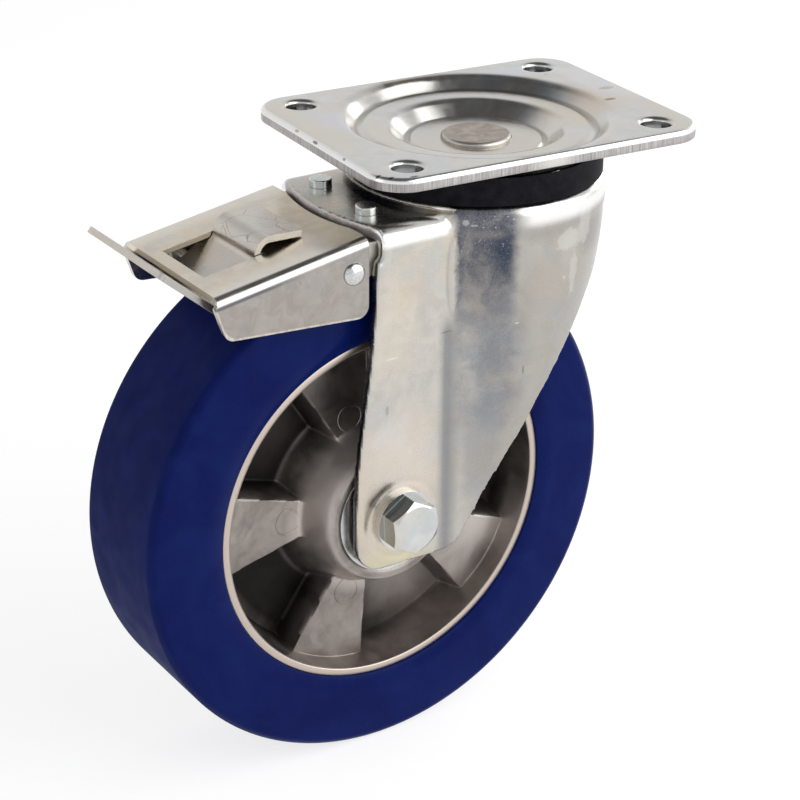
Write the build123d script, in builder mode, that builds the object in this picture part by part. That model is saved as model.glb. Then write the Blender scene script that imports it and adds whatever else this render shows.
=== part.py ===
from build123d import *
import math
import os

os.makedirs("parts", exist_ok=True)

# ---------------------------------------------------------------- dimensions
# Millimetres. The origin is the centre of the top plate's upper face, on the
# swivel axis. +Z is up, X runs along the plate's long side.

# top plate
plate_length = 136.0
plate_width = 106.0
plate_thickness = 5.0
plate_corner = 14.0
plate_edge_round = 1.3
bolt_spacing_x = 105.0
bolt_spacing_y = 80.0
bolt_hole_r = 5.5
bolt_rim_r = 7.1            # rolled rim around each bolt hole
dish_r = 50.0               # where the pressed dish starts
disc_z = -9.2               # flat disc in the middle of the dish

# swivel head
swing = 4.13                # the fork stands turned this far from the plate
race_r = 38.5               # pitch radius of the upper balls
race_z = -13.2
upper_ball_r = 4.0
upper_ball_count = 29
lower_race_r = 22.0
lower_race_z = -26.8
lower_ball_r = 3.0
lower_ball_count = 21
groove_play = 0.06
seal_r = 47.5

# fork
trail = 55.0                # wheel axis behind the swivel axis
axle_drop = 138.0           # wheel axis below the plate's upper face
leg_outer = 35.0            # half width over the legs
leg_inner = 31.0            # half width between the legs
# furthest point of the front skirt at some heights
wing_front = [(-22.5, 48.3), (-38.0, 48.1), (-46.0, 47.3), (-56.0, 45.7), (-165.0, 23.0)]
crown_z = -22.5
crown_under = -27.5
head_z = -19.5
head_r = 48.3
crown_edge_x = -70.6
crown_edge_r = 78.7
rivets = ((-57.4, 17.2), (-58.6, -15.9))

# wheel
wheel_r = 100.0
tyre_half = 25.0
tyre_edge_r = 3.4
rim_r = 70.3
rim_half = 24.25
rim_inner_r = 67.3
hub_r = 30.2
hub_half = 29.8
spoke_count = 5
spoke_angle = 34.8          # first spoke's middle, from the fork's +X
spoke_half_angle = 15.5
spoke_face = 16.0           # spoke faces' distance from the middle plane
web_half = 4.5

# 6204 bearings, 20 x 47 x 14
bearing_outer_r = 23.5
bearing_bore_r = 10.0
bearing_width = 14.0
bearing_inner_y = 15.6
bearing_pitch_r = 16.75
bearing_ball_r = 3.97

# axle
bolt_r = 6.0
bolt_head_af = 19.0
bolt_head_h = 7.5
washer_r = 12.0
washer_t = 2.5

# brake
cover_half = 34.0
cover_t = 2.0
cover_slope = 9.4           # degrees, down towards the open end
cover_x0 = -129.6
cover_x1 = -69.3
cover_z1 = -24.4            # upper face at x = cover_x1
cover_pin_x, cover_pin_z = -75.4, -36.4
cover_pin_r = 2.5
lever_x, lever_z = -108.0, -42.5
lever_pin_r = 2.5
lever_t = 2.4
cam_r = 5.4
cam_shift = (-1.77, -0.53)
shoe_r_in = 101.3
shoe_t = 2.5
shoe_a0, shoe_a1 = 105.5, 120.5   # degrees round the wheel's axis
arm_half = 28.0

# ---------------------------------------------------------------- frames
fork_base = Plane.XY.rotated((0, 0, swing))
X_F = fork_base.x_dir
Y_F = fork_base.y_dir
Z_F = Vector(0, 0, 1)


def at(x, y, z):
    """A point of the fork's frame in the object's frame."""
    return X_F * x + Y_F * y + Z_F * z


def level(z):
    """Horizontal plane at height z, axes along the fork."""
    return Plane(origin=at(0, 0, z), x_dir=X_F, z_dir=Z_F)


def side(y, x=0.0, z=0.0):
    """Upright plane at fork y, local x forward, local y up, facing -Y."""
    return Plane(origin=at(x, y, z), x_dir=X_F, z_dir=-Y_F)


axle_point = at(-trail, 0, -axle_drop)
axle_axis = Axis(axle_point, Y_F)
axle_plane = Plane(origin=axle_point, x_dir=Z_F, z_dir=-X_F)   # local (radius, y)
swivel_plane = Plane.XZ


def wheel_side(y):
    """Upright plane at fork y with its origin on the wheel's axis."""
    return side(y, -trail, -axle_drop)


def save(part, name):
    part.label = name
    export_step(part, "parts/" + name + ".step")


def cover_top(x):
    return cover_z1 + (x - cover_x1) * math.tan(math.radians(cover_slope))


def rounded_path(points):
    """Lines through (x, y, radius) points, each inner corner rounded with its radius."""
    start = points[0][:2]
    for before, corner, after in zip(points, points[1:], points[2:]):
        cx, cy, r = corner
        ux, uy = before[0] - cx, before[1] - cy
        vx, vy = after[0] - cx, after[1] - cy
        lu, lv = math.hypot(ux, uy), math.hypot(vx, vy)
        ux, uy, vx, vy = ux / lu, uy / lu, vx / lv, vy / lv
        half_angle = math.acos(max(-1.0, min(1.0, ux * vx + uy * vy))) / 2
        t = r / math.tan(half_angle)
        bx, by = ux + vx, uy + vy
        lb = math.hypot(bx, by)
        d = r / math.sin(half_angle) - r
        p1 = (cx + ux * t, cy + uy * t)
        p2 = (cx + vx * t, cy + vy * t)
        Line(start, p1)
        ThreePointArc(p1, (cx + bx / lb * d, cy + by / lb * d), p2)
        start = p2
    Line(start, points[-1][:2])


# ================================================================ plate side
# One pressed steel plate: four rolled bolt holes and a dish whose ring is the
# upper race.
with BuildPart() as top_plate:
    with BuildSketch(Plane.XY.offset(-plate_thickness)):
        RectangleRounded(plate_length, plate_width, plate_corner)
    extrude(amount=plate_thickness)
    top_edges = top_plate.faces().sort_by(Axis.Z)[-1].edges()
    fillet(top_edges, radius=plate_edge_round)
    # clear the middle, then press the dish into it
    with BuildSketch(Plane.XY.offset(1)):
        Circle(dish_r + 1.5)
    extrude(amount=-8, mode=Mode.SUBTRACT)
    with BuildSketch(swivel_plane):
        with BuildLine():
            rounded_path([(10, disc_z, 0), (24.3, disc_z, 0.5), (25.4, disc_z - 0.8, 0.5),
                          (27.0, disc_z - 0.8, 0.9), (33.2, -4.3, 5.0), (42.3, -4.15, 3.0),
                          (44.9, -5.5, 0.8), (49.3, 0, 4.0), (dish_r + 1.5, 0, 0)])
            Polyline((dish_r + 1.5, 0), (dish_r + 1.5, -5), (50.0, -5.3), (46.2, -9.4), (44.2, -10.0),
                     (32.0, -10.0), (28.5, -13.4), (26.8, -14.0), (10, -14.0), (10, disc_z))
        make_face()
    revolve(axis=Axis.Z)
    # ball groove under the ring
    with BuildSketch(swivel_plane):
        with Locations((race_r, race_z)):
            Circle(upper_ball_r + groove_play)
    revolve(axis=Axis.Z, mode=Mode.SUBTRACT)
    # bolt holes, each with a dished rim
    with Locations((0, 0, 0)):
        with GridLocations(bolt_spacing_x, bolt_spacing_y, 2, 2):
            CounterSinkHole(radius=bolt_hole_r, counter_sink_radius=bolt_rim_r,
                            counter_sink_angle=146, depth=plate_thickness + 2)

# Riveted kingpin: round head in the plate's dish, collar under the lower race.
with BuildPart() as kingpin:
    with BuildSketch(swivel_plane):
        with BuildLine():
            Polyline((0, -7.4), (11.9, -7.4))
            TangentArc((11.9, -7.4), (13.25, -8.5), tangent=(1, -0.1))
            Polyline((13.25, -8.5), (13.25, disc_z), (10, disc_z), (10, -29.0), (10, -32.0),
                     (15.5, -32.0), (15.5, -34.6), (14.3, -35.8), (0, -35.8), (0, -7.4))
        make_face()
    revolve(axis=Axis.Z)

# Pressed ring that holds the lower balls against the fork.
with BuildPart() as lower_race:
    with BuildSketch(swivel_plane):
        with BuildLine():
            Polyline((10, -29.0), (26.6, -29.0), (26.6, -26.4), (28.6, -26.4), (28.6, -31.0),
                     (27.6, -32.0), (10, -32.0), (10, -29.0))
        make_face()
        with Locations((lower_race_r, lower_race_z)):
            Circle(lower_ball_r + groove_play, mode=Mode.SUBTRACT)
    revolve(axis=Axis.Z)

# ================================================================ fork side
with BuildPart() as fork:
    # outer shape: flat legs behind, rounded wings in front that draw in downwards
    for z0, front in wing_front:
        with BuildSketch(level(z0)):
            with BuildLine():
                Polyline((-33.3, -leg_outer), (-95, -leg_outer), (-95, leg_outer), (-33.3, leg_outer))
                ThreePointArc((-33.3, leg_outer), (front, 0), (-33.3, -leg_outer))
            make_face()
    loft(ruled=True)
    long_edges = (fork.faces().sort_by(Axis.Z)[-1].edges()
                  .filter_by(GeomType.LINE).filter_by(Axis((0, 0, 0), X_F)))
    fillet(long_edges, radius=6)
    # domed head with a rounded shoulder, raised where the balls run
    with BuildSketch(Plane(origin=(0, 0, 0), x_dir=X_F, z_dir=-Y_F)):
        with BuildLine():
            Polyline((0, -16.4), (43.6, -16.4), (43.6, head_z), (44.0, head_z))
            Spline((44.0, head_z), (46.6, -20.3), (48.2, -22.0), (head_r + 0.4, -26.5),
                   tangents=((1, -0.1), (0.02, -1)))
            Polyline((head_r + 0.4, -26.5), (head_r + 0.4, -30.5), (head_r - 1.4, -34.5),
                     (0, -34.5), (0, -16.4))
        make_face()
    revolve(axis=Axis.Z)
    # behind, the head stands on the flat crown as an undercut lip
    with BuildSketch(level(-10)):
        with Locations((-60, 0)):
            Rectangle(54, 80)
        Circle(46.3, mode=Mode.SUBTRACT)
    extrude(amount=crown_z + 10, mode=Mode.SUBTRACT)
    with BuildSketch(level(head_z - 1.3)):
        Circle(50.0)
        with Locations((26, 0)):
            Rectangle(120, 120, mode=Mode.SUBTRACT)
    extrude(amount=1.3)
    # hollow: between the legs, under the dome and under the crown
    for z0, front in [(crown_under, head_r)] + wing_front[1:-1] + [(-170, 22.0)]:
        with BuildSketch(level(z0)):
            with BuildLine():
                Polyline((-33.3, -leg_inner), (-100, -leg_inner), (-100, leg_inner), (-33.3, leg_inner))
                ThreePointArc((-33.3, leg_inner), (front - 4.1, 0), (-33.3, -leg_inner))
            make_face()
    loft(ruled=True, mode=Mode.SUBTRACT)
    with BuildSketch(level(-24.5)):
        Circle(41)
        with Locations((-42, 0)):
            Rectangle(24, 90, mode=Mode.SUBTRACT)
    extrude(amount=-5, mode=Mode.SUBTRACT)
    # side outline of the legs and of the front skirt
    with BuildSketch(side(-70)) as outline:
        with BuildLine():
            Polyline((-74.5, -14), (52, -14), (52, -45.5), (44.0, -47.5), (38.0, -50.5))
            Spline((38.0, -50.5), (30.4, -58.2), (21.3, -70.3), (9.3, -86.9), (-1.6, -102.6),
                   (-11.5, -118.3), (-19.2, -130.6), (-24.4, -141.3), (-28.6, -150.2))
            Spline((-28.6, -150.2), (-31.0, -154.6), (-37.0, -157.2),
                   tangents=((-0.42, -0.91), (-1, 0)))
            Polyline((-37.0, -157.2), (-62.5, -157.2))
            RadiusArc((-62.5, -157.2), (-74.6, -146.5), 12.0)
            Spline((-74.6, -146.5), (-74.6, -128.5), (-72.4, -101.0), (-68.2, -68.5), (-66.4, -40.0),
                   (-66.2, -28.0), tangents=((0, 1), (0, 1)))
            Polyline((-66.2, -28.0), (-74.5, -28.0), (-74.5, -14))
        make_face()
    extrude(amount=-140, mode=Mode.INTERSECT)
    # curved trailing edge of the crown
    with BuildSketch(level(-10)):
        with BuildLine():
            Polyline((-64.2, 60), (-64.2, 31.5))
            ThreePointArc((-64.2, 31.5), (crown_edge_x, 0), (-64.2, -31.5))
            Polyline((-64.2, -31.5), (-64.2, -60), (-90, -60), (-90, 60), (-64.2, 60))
        make_face()
    extrude(amount=-24, mode=Mode.SUBTRACT)
    # bores: kingpin, rivets, axle
    with Locations((0, 0, -16)):
        Hole(radius=16.5, depth=14)
    with BuildSketch(level(-10)):
        with Locations(*rivets):
            Circle(3.0)
    extrude(amount=-25, mode=Mode.SUBTRACT)
    with BuildSketch(wheel_side(-50)):
        Circle(bolt_r + 0.2)
    extrude(amount=-100, mode=Mode.SUBTRACT)
    # ball grooves
    with BuildSketch(swivel_plane):
        with Locations((race_r, race_z)):
            Circle(upper_ball_r + groove_play)
        with Locations((lower_race_r, lower_race_z)):
            Circle(lower_ball_r + groove_play)
    revolve(axis=Axis.Z, mode=Mode.SUBTRACT)

with BuildPart() as upper_balls:
    with PolarLocations(race_r, upper_ball_count):
        with Locations((0, 0, race_z)):
            Sphere(upper_ball_r)

with BuildPart() as lower_balls:
    with PolarLocations(lower_race_r, lower_ball_count):
        with Locations((0, 0, lower_race_z)):
            Sphere(lower_ball_r)

# Rubber ring that closes the gap between the head and the plate.
with BuildPart() as dust_seal:
    with BuildSketch(swivel_plane):
        with BuildLine():
            Polyline((43.8, head_z), (seal_r, head_z), (seal_r, -9.0), (46.8, -9.4), (44.6, -11.0),
                     (43.8, -11.2), (43.8, head_z))
        make_face()
    revolve(axis=Axis.Z)

# ---------------------------------------------------------------- brake
# Carrier bracket riveted under the crown; its ears reach back inside the cover
# and hold the lever pin.
with BuildPart() as brake_carrier:
    with BuildSketch(level(crown_under - 2.5)):
        with BuildLine():
            Polyline((-49.0, -30.8), (-49.0, 30.8), (-66.0, 30.8), (-66.0, -30.8), (-49.0, -30.8))
        make_face()
    extrude(amount=2.5)
    for y0 in (-30.8, 28.4):
        with BuildSketch(side(y0)):
            with BuildLine():
                Polyline((-49.0, -27.5), (-72.0, -27.5), (-96.0, -32.0), (-112.6, -37.6),
                         (-114.0, -41.0), (-113.0, -45.8), (-109.8, -48.3), (-105.6, -48.0),
                         (-92.0, -43.2), (-74.0, -42.6), (-49.0, -34.0), (-49.0, -27.5))
            make_face()
        extrude(amount=-2.4)
    with BuildSketch(level(-20)):
        with Locations(*rivets):
            Circle(3.0)
    extrude(amount=-14, mode=Mode.SUBTRACT)
    with BuildSketch(side(-40)):
        with Locations((cover_pin_x, cover_pin_z)):
            Circle(cover_pin_r)
        with Locations((lever_x, lever_z)):
            Circle(lever_pin_r)
    extrude(amount=-80, mode=Mode.SUBTRACT)

# Two rivets through crown and carrier.
with BuildPart() as crown_rivets:
    for rivet_x, rivet_y in rivets:
        with BuildSketch(side(rivet_y, rivet_x, 0)):
            with BuildLine():
                Polyline((0, crown_z + 3.0), (3.85, crown_z + 3.0), (4.2, crown_z + 2.65),
                         (4.2, crown_z), (3.0, crown_z), (3.0, crown_under - 2.5),
                         (4.4, crown_under - 2.5), (4.0, crown_under - 4.2),
                         (0, crown_under - 4.2), (0, crown_z + 3.0))
            make_face()
        revolve(axis=Axis(at(rivet_x, rivet_y, 0), (0, 0, 1)))

# Folded sheet cover with a window for the release hook.
with BuildPart() as brake_cover:
    with BuildSketch(side(-cover_half)):
        with BuildLine():
            Polyline((cover_x1, cover_top(cover_x1)), (cover_x0, cover_top(cover_x0)),
                     (-129.8, -36.5), (-130.8, -38.0), (-126.6, -50.4), (cover_x1, -54.2),
                     (cover_x1, cover_top(cover_x1)))
        make_face()
        fillet(vertices().sort_by(Axis.Y)[:2], radius=4.5)
    extrude(amount=-2 * cover_half)
    fold = brake_cover.edges().filter_by(GeomType.LINE).filter_by(
        lambda e: abs((e @ 0.5).Z - cover_top((cover_x0 + cover_x1) / 2)) < 0.5
        and e.length > 50)
    fillet(fold, radius=3.2)
    with BuildSketch(side(-cover_half + cover_t)):
        with BuildLine():
            Polyline((-60, cover_top(-60) - cover_t), (-140, cover_top(-140) - cover_t),
                     (-140, -60), (-60, -60), (-60, cover_top(-60) - cover_t))
        make_face()
    extrude(amount=-2 * (cover_half - cover_t), mode=Mode.SUBTRACT)
    # edge that follows the crown with a small gap
    with BuildSketch(level(-10)):
        with BuildLine():
            Polyline((-50, -27.5), (-67.6, -27.5))
            ThreePointArc((-67.6, -27.5), (crown_edge_x - 1.5, 0), (-67.6, 27.5))
            Polyline((-67.6, 27.5), (-50, 27.5), (-50, -27.5))
        make_face()
    extrude(amount=-24, mode=Mode.SUBTRACT)
    # window
    with BuildSketch(level(0)):
        with Locations((-112.2, 0)):
            Rectangle(24.8, 30.2)
    extrude(amount=-45, mode=Mode.SUBTRACT)
    with BuildSketch(side(-50)):
        with Locations((cover_pin_x, cover_pin_z)):
            Circle(cover_pin_r)
    extrude(amount=-100, mode=Mode.SUBTRACT)

# Cross pin: it fixes the cover to the carrier and the brake arm swings on it.
with BuildPart() as cover_pin:
    with BuildSketch(Plane(origin=at(cover_pin_x, 0, cover_pin_z), x_dir=Z_F, z_dir=-X_F)):
        with BuildLine():
            Polyline((0, -36.2), (2.3, -36.0), (3.8, -35.2), (4.3, -cover_half),
                     (cover_pin_r, -cover_half), (cover_pin_r, cover_half), (4.3, cover_half),
                     (3.8, 35.2), (2.3, 36.0), (0, 36.2), (0, -36.2))
        make_face()
    revolve(axis=Axis(at(cover_pin_x, 0, cover_pin_z), Y_F))

with BuildPart() as lever_pin:
    with BuildSketch(Plane(origin=at(lever_x, 0, lever_z), x_dir=Z_F, z_dir=-X_F)):
        with BuildLine():
            Polyline((0, -31.2), (2.0, -31.2), (lever_pin_r, -30.7), (lever_pin_r, 30.7),
                     (2.0, 31.2), (0, 31.2), (0, -31.2))
        make_face()
    revolve(axis=Axis(at(lever_x, 0, lever_z), Y_F))

# Foot lever, one folded sheet: release hook, slope, trough, pedal and two cam ears.
hook_half = 14.7
inner_half = 18.4
pedal_half = 27.6
with BuildPart() as foot_lever:
    with BuildSketch(side(-pedal_half)):
        with BuildLine():
            FilletPolyline((-84.8, -25.4), (-102.6, -25.0), (-103.2, -32.4), (-122.3, -45.2),
                           (-147.2, -24.2), radius=[5.2, 4.0, 3.4])
        trace(line_width=lever_t)
    extrude(amount=-2 * pedal_half)
    # outline of the blank: narrow hook, middle part, full-width pedal
    with BuildSketch(level(-10)):
        Polygon((-80, -hook_half), (-80, hook_half), (-106.5, hook_half), (-106.5, inner_half),
                (-120.6, inner_half), (-124.0, pedal_half), (-160, pedal_half),
                (-160, -pedal_half), (-124.0, -pedal_half), (-120.6, -inner_half),
                (-106.5, -inner_half), (-106.5, -hook_half), align=None)
    extrude(amount=-50, mode=Mode.INTERSECT)
    corners = foot_lever.edges().filter_by(
        lambda e: abs(e.length - lever_t) < 0.05 and (e @ 0.5).Z > -26.5
        and abs((e @ 0.5).dot(Y_F)) > pedal_half - 0.1)
    fillet(corners, radius=2.5)
    # cam ears, folded down from the middle part; the lobe grows behind the pin
    for y0 in (-inner_half, inner_half - lever_t):
        with BuildSketch(side(y0)):
            with BuildLine():
                Polyline((-104.6, -33.8), (-117.6, -42.4), (-115.0, -44.4), (-109.8, -43.0),
                         (-104.4, -41.6), (-104.6, -33.8))
            make_face()
            with Locations((lever_x + cam_shift[0], lever_z + cam_shift[1])):
                Circle(cam_r)
        extrude(amount=-lever_t)
    with BuildSketch(side(-40)):
        with Locations((lever_x, lever_z)):
            Circle(lever_pin_r + 0.06)
    extrude(amount=-80, mode=Mode.SUBTRACT)

# Brake arm, one pressed piece: two ears on the cross pin and a curved shoe.
with BuildPart() as brake_arm:
    with BuildSketch(wheel_side(-arm_half)):
        with BuildLine():
            s_in = CenterArc((0, 0), shoe_r_in, shoe_a0, shoe_a1 - shoe_a0)
            s_out = CenterArc((0, 0), shoe_r_in + shoe_t, shoe_a0, shoe_a1 - shoe_a0)
            Line(s_in @ 0, s_out @ 0)
            Line(s_in @ 1, s_out @ 1)
        make_face()
    extrude(amount=-2 * arm_half)
    for y0 in (-arm_half, arm_half - lever_t):
        with BuildSketch(side(y0)):
            with BuildLine():
                Polyline((-75.4, -31.8), (-78.6, -32.2), (-84.0, -34.6), (-96.0, -41.4),
                         (-104.9, -48.2), (-97.0, -45.0), (-88.0, -41.4), (-83.4, -39.8),
                         (-79.0, -40.2), (-75.4, -41.0), (-75.4, -31.8))
            make_face()
            with Locations((cover_pin_x, cover_pin_z)):
                Circle(4.6)
        extrude(amount=-lever_t)
    with BuildSketch(side(-40)):
        with Locations((cover_pin_x, cover_pin_z)):
            Circle(cover_pin_r + 0.06)
    extrude(amount=-80, mode=Mode.SUBTRACT)

# ---------------------------------------------------------------- axle, fixed in the fork
with BuildPart() as axle_bolt:
    with BuildSketch(side(-leg_outer - washer_t, -trail, -axle_drop)):
        RegularPolygon(radius=bolt_head_af / 2, side_count=6, major_radius=False, rotation=33)
    extrude(amount=bolt_head_h)
    with BuildSketch(axle_plane):
        with BuildLine():
            Polyline((0, -45.1), (8.7, -45.1), (11.2, -43.6), (11.2, -36), (14, -36), (14, -46),
                     (0, -46), (0, -45.1))
        make_face()
    revolve(axis=axle_axis, mode=Mode.SUBTRACT)
    with BuildSketch(side(-leg_outer - washer_t - 0.01, -trail, -axle_drop)):
        Circle(bolt_r)
    extrude(amount=-93.0)
    end_edge = axle_bolt.edges().filter_by(GeomType.CIRCLE).sort_by(Axis((0, 0, 0), Y_F))[-1]
    chamfer(end_edge, length=0.9)

with BuildPart() as axle_washers:
    for y0 in (-leg_outer, leg_outer + washer_t):
        with BuildSketch(wheel_side(y0)):
            Circle(washer_r)
            Circle(bolt_r + 0.3, mode=Mode.SUBTRACT)
        extrude(amount=washer_t)

with BuildPart() as axle_nut:
    with BuildSketch(wheel_side(leg_outer + washer_t)):
        RegularPolygon(radius=9.5, side_count=6, major_radius=False, rotation=20)
        Circle(bolt_r, mode=Mode.SUBTRACT)
    extrude(amount=-10.0)
    with BuildSketch(wheel_side(leg_outer + washer_t + 10.0)):
        Circle(8.2)
        Circle(bolt_r, mode=Mode.SUBTRACT)
    extrude(amount=-2.6)

with BuildPart() as axle_tube:
    with BuildSketch(wheel_side(-leg_inner)):
        Circle(bearing_bore_r)
        Circle(bolt_r + 0.25, mode=Mode.SUBTRACT)
    extrude(amount=-2 * leg_inner)

with BuildPart() as bearing_spacer:
    with BuildSketch(wheel_side(-bearing_inner_y)):
        Circle(13.0)
        Circle(bearing_bore_r, mode=Mode.SUBTRACT)
    extrude(amount=-2 * bearing_inner_y)

with BuildPart() as side_collars:
    for y0 in (-bearing_inner_y - bearing_width, leg_inner):
        with BuildSketch(wheel_side(y0)):
            Circle(13.0)
            Circle(bearing_bore_r, mode=Mode.SUBTRACT)
        extrude(amount=leg_inner - bearing_inner_y - bearing_width)


# ================================================================ wheel
def ring_profile(sign, outer):
    """Half section (radius, y) of one race, mirrored for the other side."""
    y_in, y_out = sign * bearing_inner_y, sign * (bearing_inner_y + bearing_width)
    if outer:
        return (20.2, y_in), (bearing_outer_r, y_in), (bearing_outer_r, y_out), (20.2, y_out)
    return (bearing_bore_r, y_in), (13.4, y_in), (13.4, y_out), (bearing_bore_r, y_out)


races = {}
for tag, sign in (("left", -1), ("right", 1)):
    mid = sign * (bearing_inner_y + bearing_width / 2)
    for kind in ("outer", "inner"):
        with BuildPart() as race:
            with BuildSketch(axle_plane):
                Polygon(*ring_profile(sign, kind == "outer"), align=None)
                with Locations((bearing_pitch_r, mid)):
                    Circle(bearing_ball_r + 0.05, mode=Mode.SUBTRACT)
            revolve(axis=axle_axis)
        races[kind, tag] = race
    with BuildPart() as balls:
        with Locations(wheel_side(mid)):
            with PolarLocations(bearing_pitch_r, 8, start_angle=11):
                Sphere(bearing_ball_r)
    races["balls", tag] = balls
    with BuildPart() as shield:
        with BuildSketch(wheel_side(sign * (bearing_inner_y + bearing_width - 0.4))):
            Circle(20.2)
            Circle(13.9, mode=Mode.SUBTRACT)
        extrude(amount=sign * 0.8)
    races["shield", tag] = shield

# Die-cast aluminium wheel centre: hub, web, five wide spokes on each side, rim.
with BuildPart() as wheel_centre:
    with BuildSketch(axle_plane):
        with BuildLine():
            Polyline((20.6, -15.5), (bearing_outer_r, -15.5), (bearing_outer_r, -hub_half),
                     (28.2, -hub_half), (29.7, -28.4), (hub_r + 1.0, -web_half - 2),
                     (35, -web_half), (62, -web_half), (66.0, -web_half - 3),
                     (rim_inner_r, -rim_half), (rim_r, -rim_half), (rim_r, rim_half),
                     (rim_inner_r, rim_half), (66.0, web_half + 3), (62, web_half),
                     (35, web_half), (hub_r + 1.0, web_half + 2), (29.7, 28.4),
                     (28.2, hub_half), (bearing_outer_r, hub_half), (bearing_outer_r, 15.5),
                     (20.6, 15.5), (20.6, -15.5))
        make_face()
    revolve(axis=axle_axis)
    ca, sa = math.cos(math.radians(spoke_half_angle)), math.sin(math.radians(spoke_half_angle))
    for y0, amount in ((-spoke_face, -spoke_face + 1), (spoke_face, spoke_face - 1)):
        with BuildSketch(wheel_side(y0)):
            with PolarLocations(0, spoke_count, start_angle=spoke_angle):
                Polygon((27 * ca, -27 * sa), (68.8 * ca, -68.8 * sa), (69.0, 0),
                        (68.8 * ca, 68.8 * sa), (27 * ca, 27 * sa), (26, 0), align=None)
        extrude(amount=amount)

with BuildPart() as tyre:
    with BuildSketch(axle_plane):
        with BuildLine():
            Polyline((rim_r, -tyre_half), (wheel_r, -tyre_half), (wheel_r, tyre_half),
                     (rim_r, tyre_half), (rim_r, -tyre_half))
        make_face()
        fillet(vertices().group_by(Axis.X)[-1], radius=tyre_edge_r)
    revolve(axis=axle_axis)

# ---------------------------------------------------------------- files
save(top_plate.part, "top_plate")
save(kingpin.part, "kingpin")
save(lower_race.part, "lower_race")
save(fork.part, "fork")
save(upper_balls.part, "upper_balls")
save(lower_balls.part, "lower_balls")
save(dust_seal.part, "dust_seal")
save(brake_carrier.part, "brake_carrier")
save(crown_rivets.part, "crown_rivets")
save(brake_cover.part, "brake_cover")
save(cover_pin.part, "cover_pin")
save(lever_pin.part, "lever_pin")
save(foot_lever.part, "foot_lever")
save(brake_arm.part, "brake_arm")
save(axle_bolt.part, "axle_bolt")
save(axle_washers.part, "axle_washers")
save(axle_nut.part, "axle_nut")
save(axle_tube.part, "axle_tube")
save(bearing_spacer.part, "bearing_spacer")
save(side_collars.part, "side_collars")
for tag in ("left", "right"):
    save(races["outer", tag].part, "bearing_outer_" + tag)
    save(races["inner", tag].part, "bearing_inner_" + tag)
    save(races["balls", tag].part, "bearing_balls_" + tag)
    save(races["shield", tag].part, "bearing_shield_" + tag)
save(wheel_centre.part, "wheel_centre")
save(tyre.part, "tyre")
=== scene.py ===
import bpy
import bmesh
import math
import numpy as np
from mathutils import Matrix, Vector


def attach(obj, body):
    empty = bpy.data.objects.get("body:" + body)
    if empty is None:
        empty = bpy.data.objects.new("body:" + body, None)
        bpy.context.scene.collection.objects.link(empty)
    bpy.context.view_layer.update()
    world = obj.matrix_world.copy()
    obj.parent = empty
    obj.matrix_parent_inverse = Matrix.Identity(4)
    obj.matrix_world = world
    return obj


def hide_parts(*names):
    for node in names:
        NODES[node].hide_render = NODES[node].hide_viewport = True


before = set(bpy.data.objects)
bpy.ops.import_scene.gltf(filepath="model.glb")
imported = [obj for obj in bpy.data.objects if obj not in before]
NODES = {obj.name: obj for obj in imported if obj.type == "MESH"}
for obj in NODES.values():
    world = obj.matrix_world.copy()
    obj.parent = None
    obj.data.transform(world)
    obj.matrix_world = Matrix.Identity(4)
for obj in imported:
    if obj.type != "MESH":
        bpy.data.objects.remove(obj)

scene = bpy.context.scene
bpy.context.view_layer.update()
MM = 0.001
SWING = math.radians(4.13)          # the fork stands turned this far about +Z
CS, SN = math.cos(SWING), math.sin(SWING)
AXLE = (-55.0, -138.0)              # wheel axis in the fork's frame, x and z, mm


def row(x, y, z):
    """A point of the fork's frame in mm, as a row-frame point in metres."""
    return Vector(((x * CS - y * SN) * MM, (x * SN + y * CS) * MM, z * MM))


# ------------------------------------------------------------------ camera
right = Vector((0.8699115, -0.4931292, 0.0088))
up = Vector((0.2013028, 0.3712866, 0.9064345))
back = Vector((-0.4502567, -0.7867463, 0.4222548))
place = Vector((-0.413623, -0.667709, 0.248377))
cam_data = bpy.data.cameras.new("photo_camera")
cam_data.sensor_fit = "HORIZONTAL"
cam_data.sensor_width = 36.0
cam_data.lens = 99.371
cam_data.clip_start = 0.05
cam_data.clip_end = 60.0
camera = bpy.data.objects.new("photo_camera", cam_data)
scene.collection.objects.link(camera)
m = Matrix.Identity(4)
for i in range(3):
    m[i][0], m[i][1], m[i][2], m[i][3] = right[i], up[i], back[i], place[i]
camera.matrix_world = m
scene.camera = camera

# ------------------------------------------------------------------ stage and light
scene.view_settings.view_transform = "Standard"
scene.view_settings.look = "None"
scene.view_settings.exposure = 0.0
scene.view_settings.gamma = 1.0


def plain_material(name, color, roughness):
    mat = bpy.data.materials.new(name)
    mat.use_nodes = True
    bsdf = mat.node_tree.nodes["Principled BSDF"]
    bsdf.inputs["Base Color"].default_value = (*color, 1)
    bsdf.inputs["Roughness"].default_value = roughness
    return mat


floor_mesh = bpy.data.meshes.new("floor")
half = 6.0
floor_z = -0.2381
floor_mesh.from_pydata([(-half, -half, floor_z), (half, -half, floor_z), (half, half, floor_z),
                        (-half, half, floor_z)], [], [(0, 1, 2, 3)])
floor = bpy.data.objects.new("floor", floor_mesh)
scene.collection.objects.link(floor)
floor_mat = plain_material("floor_pale", (0.34, 0.34, 0.34), 0.85)
floor_mat.node_tree.nodes["Principled BSDF"].inputs["Emission Color"].default_value = (1, 1, 1, 1)
floor_mat.node_tree.nodes["Principled BSDF"].inputs["Emission Strength"].default_value = 0.74
floor.data.materials.append(floor_mat)

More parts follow.
